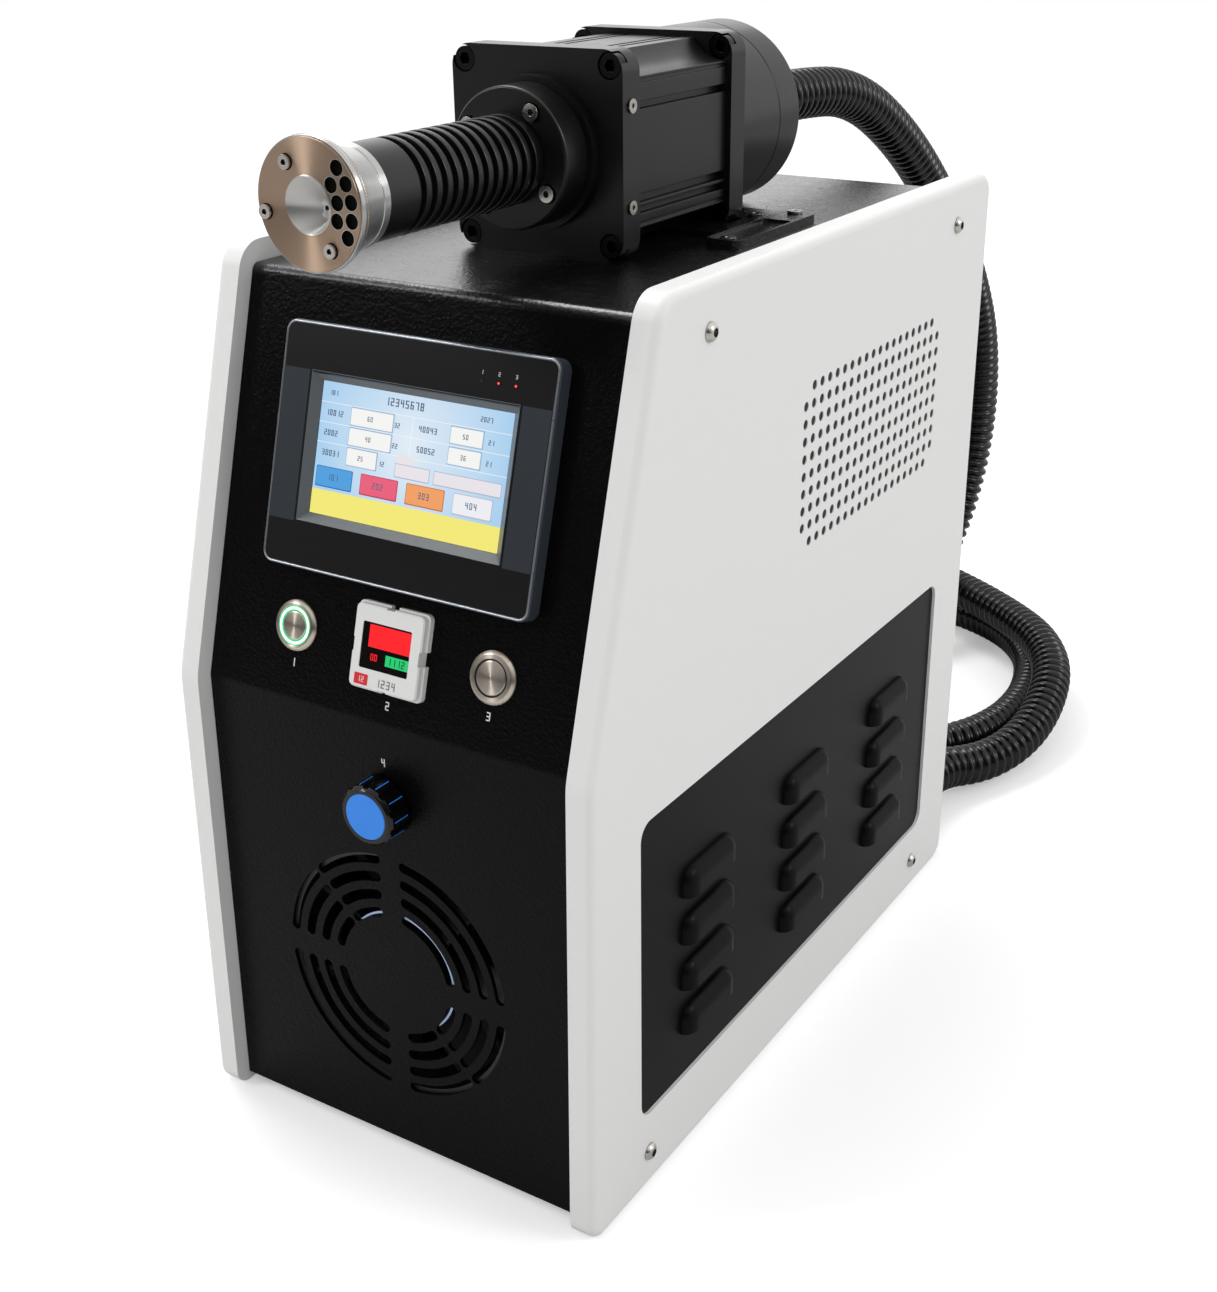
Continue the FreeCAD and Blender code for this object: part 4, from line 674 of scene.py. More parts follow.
def digits(number, x, y, height):
    """Seven-segment digits as rectangles, from the left end x and the middle height y."""
    width = height * 0.5
    stroke = height * 0.14
    half = height / 2
    spots = {
        "a": (width / 2, half - stroke / 2, width, stroke),
        "b": (width - stroke / 2, half / 2, stroke, half),
        "c": (width - stroke / 2, -half / 2, stroke, half),
        "d": (width / 2, stroke / 2 - half, width, stroke),
        "e": (stroke / 2, -half / 2, stroke, half),
        "f": (stroke / 2, half / 2, stroke, half),
        "g": (width / 2, 0, width, stroke)}
    bars = []
    for i, figure in enumerate(number):
        left = x + i * height * 0.78
        for letter in SEGMENTS[figure]:
            dx, dy, w, h = spots[letter]
            bars.append((left + dx, y + dy, w, h))
    return bars


def outline_wire(name, placed, x, y, width, height, z, corner, thick, material):
    """Thin round wire that follows a rectangle with rounded corners."""
    curve = bpy.data.curves.new(name, "CURVE")
    curve.dimensions = "3D"
    curve.bevel_depth = thick / 2 * MM
    curve.bevel_resolution = 3
    spots = []
    for quarter, (sx, sy) in enumerate(((1, 1), (-1, 1), (-1, -1), (1, -1))):
        for step in range(9):
            angle = math.radians(90 * quarter + 90 * step / 8)
            spots.append((x + sx * (width / 2 - corner) + corner * math.cos(angle),
                          y + sy * (height / 2 - corner) + corner * math.sin(angle)))
    spline = curve.splines.new("POLY")
    spline.points.add(len(spots) - 1)
    for target, (px, py) in zip(spline.points, spots):
        target.co = (*(placed @ Vector((px * MM, py * MM, z * MM))), 1)
    spline.use_cyclic_u = True
    mesh = evaluated_mesh(linked(name, curve))
    mesh.name = name
    mesh.materials.clear()
    new_object(name, mesh, "cabinet", material)


print("shapes of figures", len(SEGMENTS))

# %% [markdown]
# Most rigid pieces keep their frame shape. They get a smooth copy with an edge radius that suits
# how they were made: folded sheet has small radii, turned and milled parts a crisp break.

# %% Cabinet pieces
shell = dressed("front_top_shell", BLACK_COAT, 0.25)
dressed("base_tray", BLACK_COAT)
dressed("rear_panel", BLACK_COAT, 0.25)
dressed("rubber_feet", RUBBER, 0.4)
print("shell faces", len(shell.data.polygons))

# %% [markdown]
# Each cover is held by socket screws with domed heads. A dome catches a small round highlight, so the
# heads are turned anew, each at the middle of its frame solid.

# %% Cover screws
DOME_RADIUS = 4.1
DOME_HEIGHT = 2.5
SOCKET_RADIUS = 1.75
SOCKET_FLOOR = 0.6
COVER_FACE_X = 0.10835


def island_centres(mesh):
    """Middle of each separate solid in a mesh."""
    bm = bmesh.new()
    bm.from_mesh(mesh)
    bmesh.ops.remove_doubles(bm, verts=bm.verts, dist=WELD_DISTANCE)
    waiting = set(bm.verts)
    middles = []
    while waiting:
        group = {waiting.pop()}
        edge_of_group = list(group)
        while edge_of_group:
            grown = {e.other_vert(v) for v in edge_of_group for e in v.link_edges} & waiting
            waiting -= grown
            group |= grown
            edge_of_group = list(grown)
        low = [min(v.co[i] for v in group) for i in range(3)]
        high = [max(v.co[i] for v in group) for i in range(3)]
        middles.append(Vector([(a + b) / 2 for a, b in zip(low, high)]))
    bm.free()
    return middles


def cover_screws():
    """Domed socket heads; the covers hide the rest of each screw."""
    steps = [math.radians(a) for a in range(0, 61, 10)]
    dome = [(DOME_RADIUS * math.cos(a), DOME_HEIGHT * math.sin(a) / math.sin(steps[-1])) for a in steps]
    profile = [(0.0, -1.0), (DOME_RADIUS, -1.0)] + dome
    profile += [(SOCKET_RADIUS, DOME_HEIGHT), (SOCKET_RADIUS, SOCKET_FLOOR), (0.0, SOCKET_FLOOR)]
    heads = bmesh.new()
    for middle in island_centres(nodes["cover_screws"].data):
        side = math.copysign(1.0, middle.x)
        turn = Matrix.Rotation(side * math.radians(90), 4, "Y")
        one = lathe(profile, Matrix.Translation((side * COVER_FACE_X, middle.y, middle.z)) @ turn, 32)
        mesh = bpy.data.meshes.new("one_head")
        one.to_mesh(mesh)
        one.free()
        heads.from_mesh(mesh)
        bpy.data.meshes.remove(mesh)
    return piece(heads, "cover_screw_domes", "cabinet", SCREW_STEEL,
                 ("cover_screws",), 40)


print("screw head faces", len(cover_screws().data.polygons))

# %% [markdown]
# A louvre hood is pressed out of the sheet: a long blister with a rounded crown and rounded ends,
# cut open along its lower side. It starts as a block that loses its back and its underside,
# then the edges that are left are rounded until the block reads as pressed metal.

# %% Louvred panels
PANEL_FACE_X = COVER_FACE_X - 0.0016
PANEL_THICKNESS = 0.0015
PANEL_Y = (-0.164, 0.161)
PANEL_Z = (0.029, 0.196)
HOOD_COLUMNS = (-0.0960, -0.0005, 0.0950)
HOOD_ROWS = (0.0680, 0.0915, 0.1153, 0.1390)
HOOD_LENGTH = 0.044
HOOD_PROUD = 0.0052
HOOD_ROUND = 0.0078
HOOD_TOP = 0.0075
HOOD_BOTTOM = -0.0062
HOOD_SHEET = 0.0009


def hood(bm, y, z):
    """One open blister on the right-hand panel: rounded as deep as it is high, then pressed flatter."""
    block = bmesh.ops.create_cube(bm, size=1.0)["verts"]
    bmesh.ops.scale(bm, vec=(HOOD_ROUND * 1.02, HOOD_LENGTH, HOOD_TOP - HOOD_BOTTOM), verts=block)
    bmesh.ops.translate(bm, vec=(HOOD_ROUND * 0.51, y, z + (HOOD_TOP + HOOD_BOTTOM) / 2), verts=block)
    bm.normal_update()
    faces = {f for v in block for f in v.link_faces}
    open_sides = [f for f in faces if f.normal.x < -0.9 or f.normal.z < -0.9]
    bmesh.ops.delete(bm, geom=open_sides, context="FACES")
    folds = {e for v in block if v.is_valid for e in v.link_edges if len(e.link_faces) == 2}
    bmesh.ops.bevel(bm, geom=list(folds), offset=HOOD_ROUND, offset_type="OFFSET", segments=7,
                    profile=0.5, affect="EDGES", clamp_overlap=True, material=-1)


def louvre_panel(node, side):
    """A flat panel with its rows of hoods; the left one is the right one mirrored."""
    bm = bmesh.new()
    for y in HOOD_COLUMNS:
        for z in HOOD_ROWS:
            hood(bm, y, z)
    bmesh.ops.scale(bm, vec=(HOOD_PROUD / HOOD_ROUND, 1, 1), verts=bm.verts)
    bmesh.ops.translate(bm, vec=(PANEL_FACE_X, 0, 0), verts=bm.verts)
    bmesh.ops.recalc_face_normals(bm, faces=bm.faces)
    bmesh.ops.solidify(bm, geom=bm.faces, thickness=HOOD_SHEET)
    sheet = Matrix.Translation((PANEL_FACE_X - PANEL_THICKNESS / 2, sum(PANEL_Y) / 2, sum(PANEL_Z) / 2))
    size = (PANEL_THICKNESS, PANEL_Y[1] - PANEL_Y[0], PANEL_Z[1] - PANEL_Z[0], 1)
    bmesh.ops.create_cube(bm, size=1.0, matrix=sheet @ Matrix.Diagonal(size))
    if side < 0:
        bmesh.ops.scale(bm, vec=(-1, 1, 1), verts=bm.verts)
    bmesh.ops.recalc_face_normals(bm, faces=bm.faces)
    return piece(bm, node + "_pressed", "cabinet", PANEL_COAT, (node,), 40)


louvres = [louvre_panel("left_louvre_panel", -1), louvre_panel("right_louvre_panel", 1)]
print("louvre faces", len(louvres[0].data.polygons))

# %% [markdown]
# The white covers are formed trays. Their block of small round holes is punched through the outer
# skin only, and a dark sheet close behind them is painted shade that makes the holes read black. A cutter
# made of all the pins does the punching.

# %% Perforated side covers
HOLE_COLUMNS = 20
HOLE_ROWS = 10
HOLE_RADIUS = 0.00225
HOLE_FIRST_Y = -0.0161
HOLE_LAST_Y = 0.1284
HOLE_FIRST_Z = 0.2615
HOLE_LAST_Z = 0.3330
PIN_LENGTH = 0.006
SHADE_SHEET_DEPTH = 0.95
SHADE_SHEET_PLATE = (56.0, 1.0, 165.0)
SHADE_SHEET_Z = (245.0, 350.0)


def punch_pins(side):
    """One pin for each hole of a cover, as one cutter; the block's four corners have no hole."""
    turn = Matrix.Rotation(math.radians(90), 4, "Y")
    bm = bmesh.new()
    for i in range(HOLE_COLUMNS):
        for j in range(HOLE_ROWS):
            if i in (0, HOLE_COLUMNS - 1) and j in (0, HOLE_ROWS - 1):
                continue
            y = HOLE_FIRST_Y + (HOLE_LAST_Y - HOLE_FIRST_Y) * i / (HOLE_COLUMNS - 1)
            z = HOLE_FIRST_Z + (HOLE_LAST_Z - HOLE_FIRST_Z) * j / (HOLE_ROWS - 1)
            place = Matrix.Translation((side * COVER_FACE_X, y, z)) @ turn
            bmesh.ops.create_cone(bm, cap_ends=True, segments=16, radius1=HOLE_RADIUS, radius2=HOLE_RADIUS,
                                  depth=PIN_LENGTH, matrix=place)
    mesh = bpy.data.meshes.new("pins")
    bm.to_mesh(mesh)
    bm.free()
    return linked("pins", mesh)


def punched_cover(node, side):
    """A side cover with its small holes cut through the outer skin."""
    bm = frame_copy(node)
    mesh = bpy.data.meshes.new("blank")
    bm.to_mesh(mesh)
    bm.free()
    blank = linked("blank", mesh)
    pins = punch_pins(side)
    cut = blank.modifiers.new("punch", "BOOLEAN")
    cut.operation = "DIFFERENCE"
    cut.solver = "EXACT"
    cut.object = pins
    punched = evaluated_mesh(blank)
    bpy.data.objects.remove(pins)
    punched.materials.clear()
    punched.name = node + "_punched"
    punched.shade_smooth()
    punched.set_sharp_from_angle(angle=math.radians(32))
    made = new_object(node + "_punched", punched, "cabinet", WHITE_COAT)
    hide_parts(node)
    return hold_flats(made)


covers = [punched_cover("left_side_cover", -1), punched_cover("right_side_cover", 1)]
# Painted shade: a dark plate just inside each cover, so that the holes look black.
for word, side in (("left", -1), ("right", 1)):
    shade_sheet_x = side * (COVER_FACE_X / MM - SHADE_SHEET_DEPTH)
    tiles(word + "_perforation_shade_sheet", Matrix.Identity(4), [(shade_sheet_x, *SHADE_SHEET_PLATE)], *SHADE_SHEET_Z, RUBBER,
          "black_powder_coat")
print("cover faces", [len(c.data.polygons) for c in covers])

# %% [markdown]
# The gun's plates, body and flanges are milled or drawn aluminium and keep their frame shape.

# %% Gun pieces
anodised_edges_mm = {
    "gun_front_plate": 0.5, "gun_rear_plate": 0.5, "gun_motor_flange": 0.5, "gun_body": 0.3,
    "gun_rear_housing": 0.3, "gun_rear_cap": 0.3, "gun_finned_sleeve": 0.6}
for gun_node, edge_mm in anodised_edges_mm.items():
    dressed(gun_node, ANODISED, edge_mm)
dressed("gun_hose_gland", BLACK_PLASTIC, 0.6)
dressed("gun_plate_screws", BLACK_SCREW, 0.2)
for gun_node in ("gun_side_screws", "gun_flange_screws", "nozzle_screws", "gun_dock_screws"):
    dressed(gun_node, SCREW_STEEL, 0.12)
dressed("gun_dock_plate", BLACK_COAT, 0.3)
dressed("gun_dock_rails", BLACK_COAT, 0.3)
dressed("nozzle_head", NOZZLE_STEEL, 0.2)
dressed("nozzle_face", BRONZE, 0.15)
print("anodised pieces", len(anodised_edges_mm))

# %% [markdown]
# The jet leaves through a polished cone whose small outlet sits beside the axis, so that it sweeps
# a wide ring when the nozzle turns. Two circles are joined by a band, the floor between them is drawn
# in to a fine jet hole, and a thin bead marks the edge where the cone meets the bronze.

# %% Cone of the nozzle
CONE_MOUTH_RADIUS = 0.01035
CONE_DEPTH = 0.0080
OUTLET_RADIUS = 0.0038
OUTLET_SHIFT = (0.0020, -0.0019)
JET_HOLE_RADIUS = 0.0009
CONE_WALL = 0.0004


def nozzle_cone():
    """Seen from the front: x to the right, y up, z towards the viewer."""
    bm = bmesh.new()
    mouth = bmesh.ops.create_circle(bm, segments=96, radius=CONE_MOUTH_RADIUS)["verts"]
    bmesh.ops.translate(bm, vec=(0, 0, 0.0001), verts=mouth)
    outlet = bmesh.ops.create_circle(bm, segments=96, radius=OUTLET_RADIUS)["verts"]
    bmesh.ops.translate(bm, vec=(*OUTLET_SHIFT, -CONE_DEPTH), verts=outlet)
    bmesh.ops.bridge_loops(bm, edges=bm.edges)
    floor_edges = [e for e in bm.edges if all(abs(v.co.z + CONE_DEPTH) < HAIR for v in e.verts)]
    inner = bmesh.ops.extrude_edge_only(bm, edges=floor_edges)["geom"]
    inner_verts = [g for g in inner if isinstance(g, bmesh.types.BMVert)]
    shrink = JET_HOLE_RADIUS / OUTLET_RADIUS
    bmesh.ops.scale(bm, vec=(shrink, shrink, 1), verts=inner_verts,
                    space=Matrix.Translation((-OUTLET_SHIFT[0], -OUTLET_SHIFT[1], 0)))
    bmesh.ops.recalc_face_normals(bm, faces=bm.faces)
    bmesh.ops.solidify(bm, geom=bm.faces, thickness=CONE_WALL)
    bmesh.ops.recalc_face_normals(bm, faces=bm.faces)
    bmesh.ops.transform(bm, matrix=NOZZLE, verts=bm.verts)
    return piece(bm, "nozzle_cone", "nozzle_rotor", CONE_STEEL, smooth_deg=50)


cone = nozzle_cone()
turned_piece("nozzle_cone_bead", [(10.15, -0.2), (10.15, 0.18), (10.35, 0.3), (10.6, 0.18), (10.6, -0.2)],
             NOZZLE, CONE_STEEL, "nozzle_rotor")
print("cone faces", len(cone.data.polygons))

# %% [markdown]
# Eight holes sit in two arcs on one side of the face, and three screws stand round it. Places are
# polar: millimetres from the axis and degrees from the right-hand side.

# %% Holes and screws of the nozzle face
FACE_HOLE_RADIUS = 2.85
FACE_HOLES = [(19.9, 7.2 + 18.7 * i) for i in range(-2, 3)] + [(13.6, 8.0 + 27.4 * i) for i in range(-1, 2)]
FACE_SCREWS = [(17.0, 121.6), (20.3, 190.4), (17.8, 301.5)]


def on_face(polar):
    """Polar places on the nozzle's face as x and y."""
    return [(r * math.cos(math.radians(a)), r * math.sin(math.radians(a))) for r, a in polar]


# Black discs just below the face are painted shade inside the holes, and thin black rings round the screws
# are painted shade in their recesses.
discs("nozzle_hole_shade", NOZZLE, on_face(FACE_HOLES), FACE_HOLE_RADIUS - 0.02, -1.7, -1.6, PAINTED_SHADE_BLACK,
      "nozzle_rotor")
# Lighter steel rings laid on the bronze round each hole are a painted highlight for the light on the holes'
# chamfered edges.
rings("nozzle_hole_rim_highlights", NOZZLE, on_face(FACE_HOLES), FACE_HOLE_RADIUS - 0.02, FACE_HOLE_RADIUS + 0.2, 0.02,
      CONE_STEEL, "bronze_face", "nozzle_rotor")
rings("nozzle_screw_recess_shade", NOZZLE, on_face(FACE_SCREWS), 2.5, 2.95, 0.02, PAINTED_SHADE_BLACK, "bronze_face",
      "nozzle_rotor")
print("face holes", len(FACE_HOLES), "screws", len(FACE_SCREWS))

# %% [markdown]
# The screen is a black printed sheet over a slate moulding. The sheet turns slate beside the window,
# and a silver line runs round its edge. Sizes are in millimetres up and across the sloping face.

# %% Touchscreen
SCREEN_X = 1.0
SCREEN_UP = 107.6
SCREEN_WIDTH = 136.0
SCREEN_HEIGHT = 101.5
SCREEN_PROUD = 7.5
GLASS_LEVEL = 4.2
BAND_WIDTH = 13.4
BAND_HEIGHT = 62.6
BAND_X = 52.9 + BAND_WIDTH / 2
dressed("touchscreen_housing", SCREEN_FRAME, 0.3)
dressed("touchscreen_overlay", SCREEN_BLACK)
tiles("touchscreen_slate_bands", UPPER,
      [(SCREEN_X + side * BAND_X, SCREEN_UP - 0.2, BAND_WIDTH, BAND_HEIGHT) for side in (-1, 1)],
      SCREEN_PROUD - 0.1, SCREEN_PROUD + 0.04, SCREEN_SLATE, "screen_bezel")
outline_wire("touchscreen_edge_line", UPPER, SCREEN_X, SCREEN_UP, SCREEN_WIDTH - 1.7, SCREEN_HEIGHT - 1.7,
             SCREEN_PROUD - 0.15, 4.3, 0.8, SCREEN_LINE)
print("touchscreen", SCREEN_WIDTH, "by", SCREEN_HEIGHT, "mm")

# %% [markdown]
# The glass lies below the printed sheet. Four narrow grey slopes lead down to it.

# %% Sloping frame of the display
WELL_OUTER = (103.6, 62.2)
WELL_INNER = (95.9, 54.9)


def display_well():
    """Four grey slopes that lead from the window's edge down to the glass."""
    bm = bmesh.new()
    for width, height, z in ((*WELL_OUTER, SCREEN_PROUD - 0.1), (*WELL_INNER, GLASS_LEVEL + 0.05)):
        loop = bmesh.ops.create_circle(bm, segments=4, radius=math.sqrt(0.5))["verts"]
        bmesh.ops.rotate(bm, matrix=Matrix.Rotation(math.radians(45), 3, "Z"), verts=loop)
        bmesh.ops.scale(bm, vec=(width, height, 1), verts=loop)
        bmesh.ops.translate(bm, vec=(SCREEN_X, SCREEN_UP + 0.3, z), verts=loop)
    bmesh.ops.bridge_loops(bm, edges=bm.edges)
    bmesh.ops.recalc_face_normals(bm, faces=bm.faces)
    bmesh.ops.solidify(bm, geom=bm.faces, thickness=0.3)
    bmesh.ops.recalc_face_normals(bm, faces=bm.faces)
    settle(bm, UPPER)
    return piece(bm, "display_sloping_frame", "cabinet", WELL_GREY)


print("sloping frame faces", len(display_well().data.polygons))

# %% [markdown]
# The picture on the display is its own generic layout: a pale blue ground, white value boxes
# with plain numbers, a row of coloured buttons and a yellow footer. Each colour is one thin layer.

# %% Display picture
PICTURE_LEFT = -46.75
PICTURE_LOW = 80.65
PICTURE_WIDTH = 95.5
PICTURE_HEIGHT = 54.5


def lit_ground():
    """Pale blue screen ground that turns nearly white towards the middle."""
    material, tree, shader = start_material("lit_ground_blue", "#1A2026", 0.25)
    middle = UPPER @ Vector((SCREEN_X * MM, (SCREEN_UP + 8) * MM, GLASS_LEVEL * MM))
    away = add(tree, "VectorMath", {1: tuple(middle)}, {0: object_place(tree)}, operation="DISTANCE")
    cloud = grain(tree, 30.0, 2.0)
    reach = add(tree, "Math", {1: 0.02}, {0: cloud.outputs["Fac"]}, operation="MULTIPLY")
    reach = add(tree, "Math", None, {0: away.outputs["Value"], 1: reach.outputs["Value"]}, operation="ADD")
    span = add(tree, "MapRange", {"From Min": 0.012, "From Max": 0.058}, {"Value": reach.outputs["Value"]})
    mix = add(tree, "Mix", {"A": linear("#E6F2FC"), "B": linear("#AFD6F6")},
              {"Factor": span.outputs["Result"]}, data_type="RGBA")
    tree.links.new(mix.outputs["Result"], shader.inputs["Emission Color"])
    shader.inputs["Emission Strength"].default_value = 0.92
    return material


def lit(name, colour, strength=0.92):
    """One flat colour of the picture."""
    return glowing(name, "#151515", strength, colour)


def picture_layer(name, rows, level, material, corner=0.0):
    """Rectangles given from the picture's lower left corner as (x, y, width, height) of their corners."""
    shifted = [(PICTURE_LEFT + x + w / 2, PICTURE_LOW + y + h / 2, w, h) for x, y, w, h in rows]
    return tiles(name, UPPER, shifted, GLASS_LEVEL, GLASS_LEVEL + 0.06 * level, material, "display_glass",
                 corner=corner)


BOX_ROWS = (25.7, 33.9, 42.1)
SMALL_FIGURE = 2.0
LABEL_FIGURE = 2.4
left_boxes = [(16.2, row - 3.4, 15.2 if row == BOX_ROWS[0] else 21.4, 6.8) for row in BOX_ROWS]
right_boxes = [(66.6, row - 3.2, 15.4, 6.4) for row in BOX_ROWS[1:]]
slider_bars = [(41.5, 21.6, 17.0, 5.0), (61.0, 21.6, 32.5, 5.0)]
button_places = [1.2 + 23.4 * i for i in range(4)]
picture_layer("display_ground", [(0, 0, PICTURE_WIDTH, PICTURE_HEIGHT)], 1, lit_ground())
picture_layer("display_footer", [(0, 0, PICTURE_WIDTH, 10.2)], 2, lit("lit_yellow", "#FAF07A"))
picture_layer("display_rules", [(0, row + 3.9, PICTURE_WIDTH, 0.22) for row in BOX_ROWS]
              + [(47.4, 29.8, 0.25, 16.2)], 2, lit("lit_rule_white", "#F7FBFF"))
picture_layer("display_box_shadows",
              [(x - 0.3, y - 0.4, w + 0.9, h + 0.9) for x, y, w, h in left_boxes + right_boxes],
              2, lit("lit_shadow_blue", "#9FBBD6"))
picture_layer("display_value_boxes", left_boxes + right_boxes, 3, lit("lit_box_white", "#FBFBFA"), 0.4)
picture_layer("display_slider", slider_bars + [(41.8, 26.9, 8.6, 3.6)], 3,
              lit("lit_bar_pale", "#EFE9F0"), 0.2)
picture_layer("display_slider_edge",
              [(x - 0.25, y - 0.35, w + 0.5, h + 0.6) for x, y, w, h in slider_bars],
              2, lit("lit_shadow_grey", "#A9B0C4"))
button_colours = (("blue", "#4FA3E6", "#2A6FB0"), ("pink", "#F0607E", "#B8304E"),
                  ("orange", "#F8A466", "#C8702E"), ("white", "#F4F4FA", "#B9BCCB"))
for left, (word, colour, edge) in zip(button_places, button_colours):
    picture_layer("display_button_edge_" + word, [(left, 11.4, 19.2, 8.6)], 2,
                  lit("lit_edge_" + word, edge), 0.6)
    picture_layer("display_button_" + word, [(left + 0.3, 11.9, 18.5, 7.8)], 3,
                  lit("lit_" + word, colour), 0.6)
figures = []
labels = []
for row, value, x, number, unit, unit_x in zip(
        BOX_ROWS, ("25", "40", "60"), (22.0, 24.8, 24.8), ("30031", "2002", "10012"),
        ("12", "22", "32"), (33.0, 38.6, 38.6)):
    figures += digits(value, x, row, SMALL_FIGURE)
    labels += digits(number, 3.2, row, LABEL_FIGURE) + digits(unit, unit_x, row - 0.4, SMALL_FIGURE)
for row, value, number in zip(BOX_ROWS[1:], ("36", "50"), ("50052", "40043")):
    figures += digits(value, 72.6, row, SMALL_FIGURE)
    labels += digits(number, 51.0, row, LABEL_FIGURE) + digits("21", 85.0, row - 0.4, SMALL_FIGURE)
labels += digits("101", 4.0, 50.2, SMALL_FIGURE) + digits("12345678", 33.0, 50.6, 3.2)
labels += digits("2027", 80.0, 50.2, SMALL_FIGURE)
for i, left in enumerate(button_places):
    labels += digits("%d" % (101 + 101 * i), left + 6.4, 15.9, 2.6)
for name, bars, ink in (("display_values", figures, lit("lit_figure_grey", "#6A7078", 0.7)),
                        ("display_numbers", labels, lit("lit_figure_blue", "#5C7796", 0.7))):
    picture_layer(name, [(x - w / 2, y - h / 2, w, h) for x, y, w, h in bars], 4, ink)
print("bars of figures on the display", len(figures) + len(labels))

# %% [markdown]
# Three status lamps sit in the printed sheet above the display: one dark and two lit.

# %% Status lamps
LAMP_UP = 145.5
LAMP_PLACES = (33.4, 41.5, 49.6)
dressed("status_leds", SCREEN_BLACK)
discs("status_lamp_lit", UPPER, [(x, LAMP_UP) for x in LAMP_PLACES[1:]], 0.42, SCREEN_PROUD,
      SCREEN_PROUD + 0.2, LAMP_RED)
discs("status_lamp_dark", UPPER, [(LAMP_PLACES[0], LAMP_UP)], 0.5, SCREEN_PROUD, SCREEN_PROUD + 0.18,
      LAMP_OFF)
lamp_numbers = []
for number, x in zip("123", LAMP_PLACES):
    lamp_numbers += digits(number, x - 0.5, LAMP_UP + 3.4, 1.6)
tiles("status_lamp_numbers", UPPER, lamp_numbers, SCREEN_PROUD - 0.1, SCREEN_PROUD + 0.04, INK_WHITE,
      "screen_bezel")
print("status lamps", len(LAMP_PLACES))

# %% [markdown]
# Both push buttons are spun stainless steel. The fine rings round each centre gather the light
# into a fan of bright streaks, so every turned face needs to know its own centre and axis.

# %% Push buttons
BUTTON_UP = 31.5
LEFT_BUTTON_X = -50.0
RIGHT_BUTTON_X = 52.0
BEZEL_TOP = 2.2
OUT_OF_UPPER = tuple(UPPER.to_3x3() @ Vector((0, 0, 1)))


def upper_point(x, y, z):
    """A place on the upper face, given in millimetres, as a point of the frame."""
    return tuple(UPPER @ Vector((x * MM, y * MM, z * MM)))


for word, x in (("left", LEFT_BUTTON_X), ("right", RIGHT_BUTTON_X)):
    centre = upper_point(x, BUTTON_UP, BEZEL_TOP)
    spun = turned_metal("spun_nickel_" + word, "#E6DACB", 0.30, centre, OUT_OF_UPPER, 0.25, 0.006)
    dressed(word + "_button_body", spun, 0.35)
    dressed(word + "_button_cap", spun, 0.25)
dressed("left_button_light_ring", RING_GREEN, 0.3)
LEFT_BUTTON = UPPER @ Matrix.Translation((LEFT_BUTTON_X * MM, BUTTON_UP * MM, 0))
RIGHT_BUTTON = UPPER @ Matrix.Translation((RIGHT_BUTTON_X * MM, BUTTON_UP * MM, 0))
turned_piece("left_button_light_core", [(6.9, 1.6), (6.9, 1.95), (7.45, 2.12), (8.0, 1.95), (8.0, 1.6)],
             LEFT_BUTTON, RING_CORE)
turned_piece("right_button_gasket", [(7.22, 1.4), (7.22, 2.22), (7.8, 2.26), (7.8, 1.4)],
             RIGHT_BUTTON, BLACK_PLASTIC)
print("push buttons", RIGHT_BUTTON_X - LEFT_BUTTON_X, "mm apart")

# %% [markdown]
# The pressure switch is a white snap-in housing with a dark window. Its readout is two lit fields
# and its label a red and a grey field; the numbers on them are plain.

# %% Pressure switch
SWITCH_LEVEL = 5.5
GLASS_TOP = SWITCH_LEVEL - 0.3
dressed("pressure_switch_frame", SWITCH_WHITE, 0.35)
dressed("pressure_switch_window", GLASS_DARK)
unit_mark = digits("0", -5.6, 27.9, 2.8) + digits("0", -3.7, 27.9, 2.8)
for name, bars, thick, glow in (
        ("switch_main_field", [(3.1, 36.6, 21.2, 9.4)], 0.05, DIGIT_RED),
        ("switch_second_field", [(7.9, 27.8, 11.6, 4.5)], 0.05, DIGIT_GREEN),
        ("switch_second_figures", digits("1112", 3.4, 27.8, 3.0), 0.09, DIGIT_DARK),
        ("switch_unit_mark", unit_mark, 0.05, DIGIT_RED)):
    tiles(name, UPPER, bars, GLASS_TOP, GLASS_TOP + thick, glow, "switch_display")
tiles("switch_red_key", UPPER, [(-9.0, 18.0, 7.0, 4.6)], SWITCH_LEVEL - 0.1, SWITCH_LEVEL + 0.12, INK_RED,
      "switch_white", corner=0.4)
tiles("switch_key_figures", UPPER, digits("12", -10.6, 18.0, 2.4), SWITCH_LEVEL, SWITCH_LEVEL + 0.16,
      INK_WHITE, "switch_white")
tiles("switch_grey_figures", UPPER, digits("1234", -1.0, 18.0, 3.4), SWITCH_LEVEL - 0.05,
      SWITCH_LEVEL + 0.05, INK_GREY, "switch_white")
print("pressure switch stands", SWITCH_LEVEL, "mm out of the face")

# %% [markdown]
# The regulator knob is glossy black with blue lines let into its ribs and a flat blue cap.

# %% Regulator knob
KNOB_UP = 174.2
KNOB_SIDE_RADIUS = 13.6
RIBS = 10
KNOB = LOWER @ Matrix.Translation((0, KNOB_UP * MM, 0))
dressed("regulator_knob", KNOB_PLASTIC, 0.45)
dressed("regulator_knob_cap", KNOB_BLUE, 0.15)


def knob_lines():
    """Thin bars let into the crowns of the ribs."""
    bm = bmesh.new()
    for i in range(RIBS):
        turn = Matrix.Rotation(math.tau * i / RIBS, 4, "Z")
        place = turn @ Matrix.Translation((KNOB_SIDE_RADIUS, 0, 6.6)) @ Matrix.Diagonal((0.3, 0.45, 8.4, 1))
        bmesh.ops.create_cube(bm, size=1.0, matrix=place)
    settle(bm, KNOB)
    return piece(bm, "knob_blue_lines", "regulator_knob_body", KNOB_BLUE)


print("knob line faces", len(knob_lines().data.polygons))

# %% [markdown]
# One plain white number stands by each control.

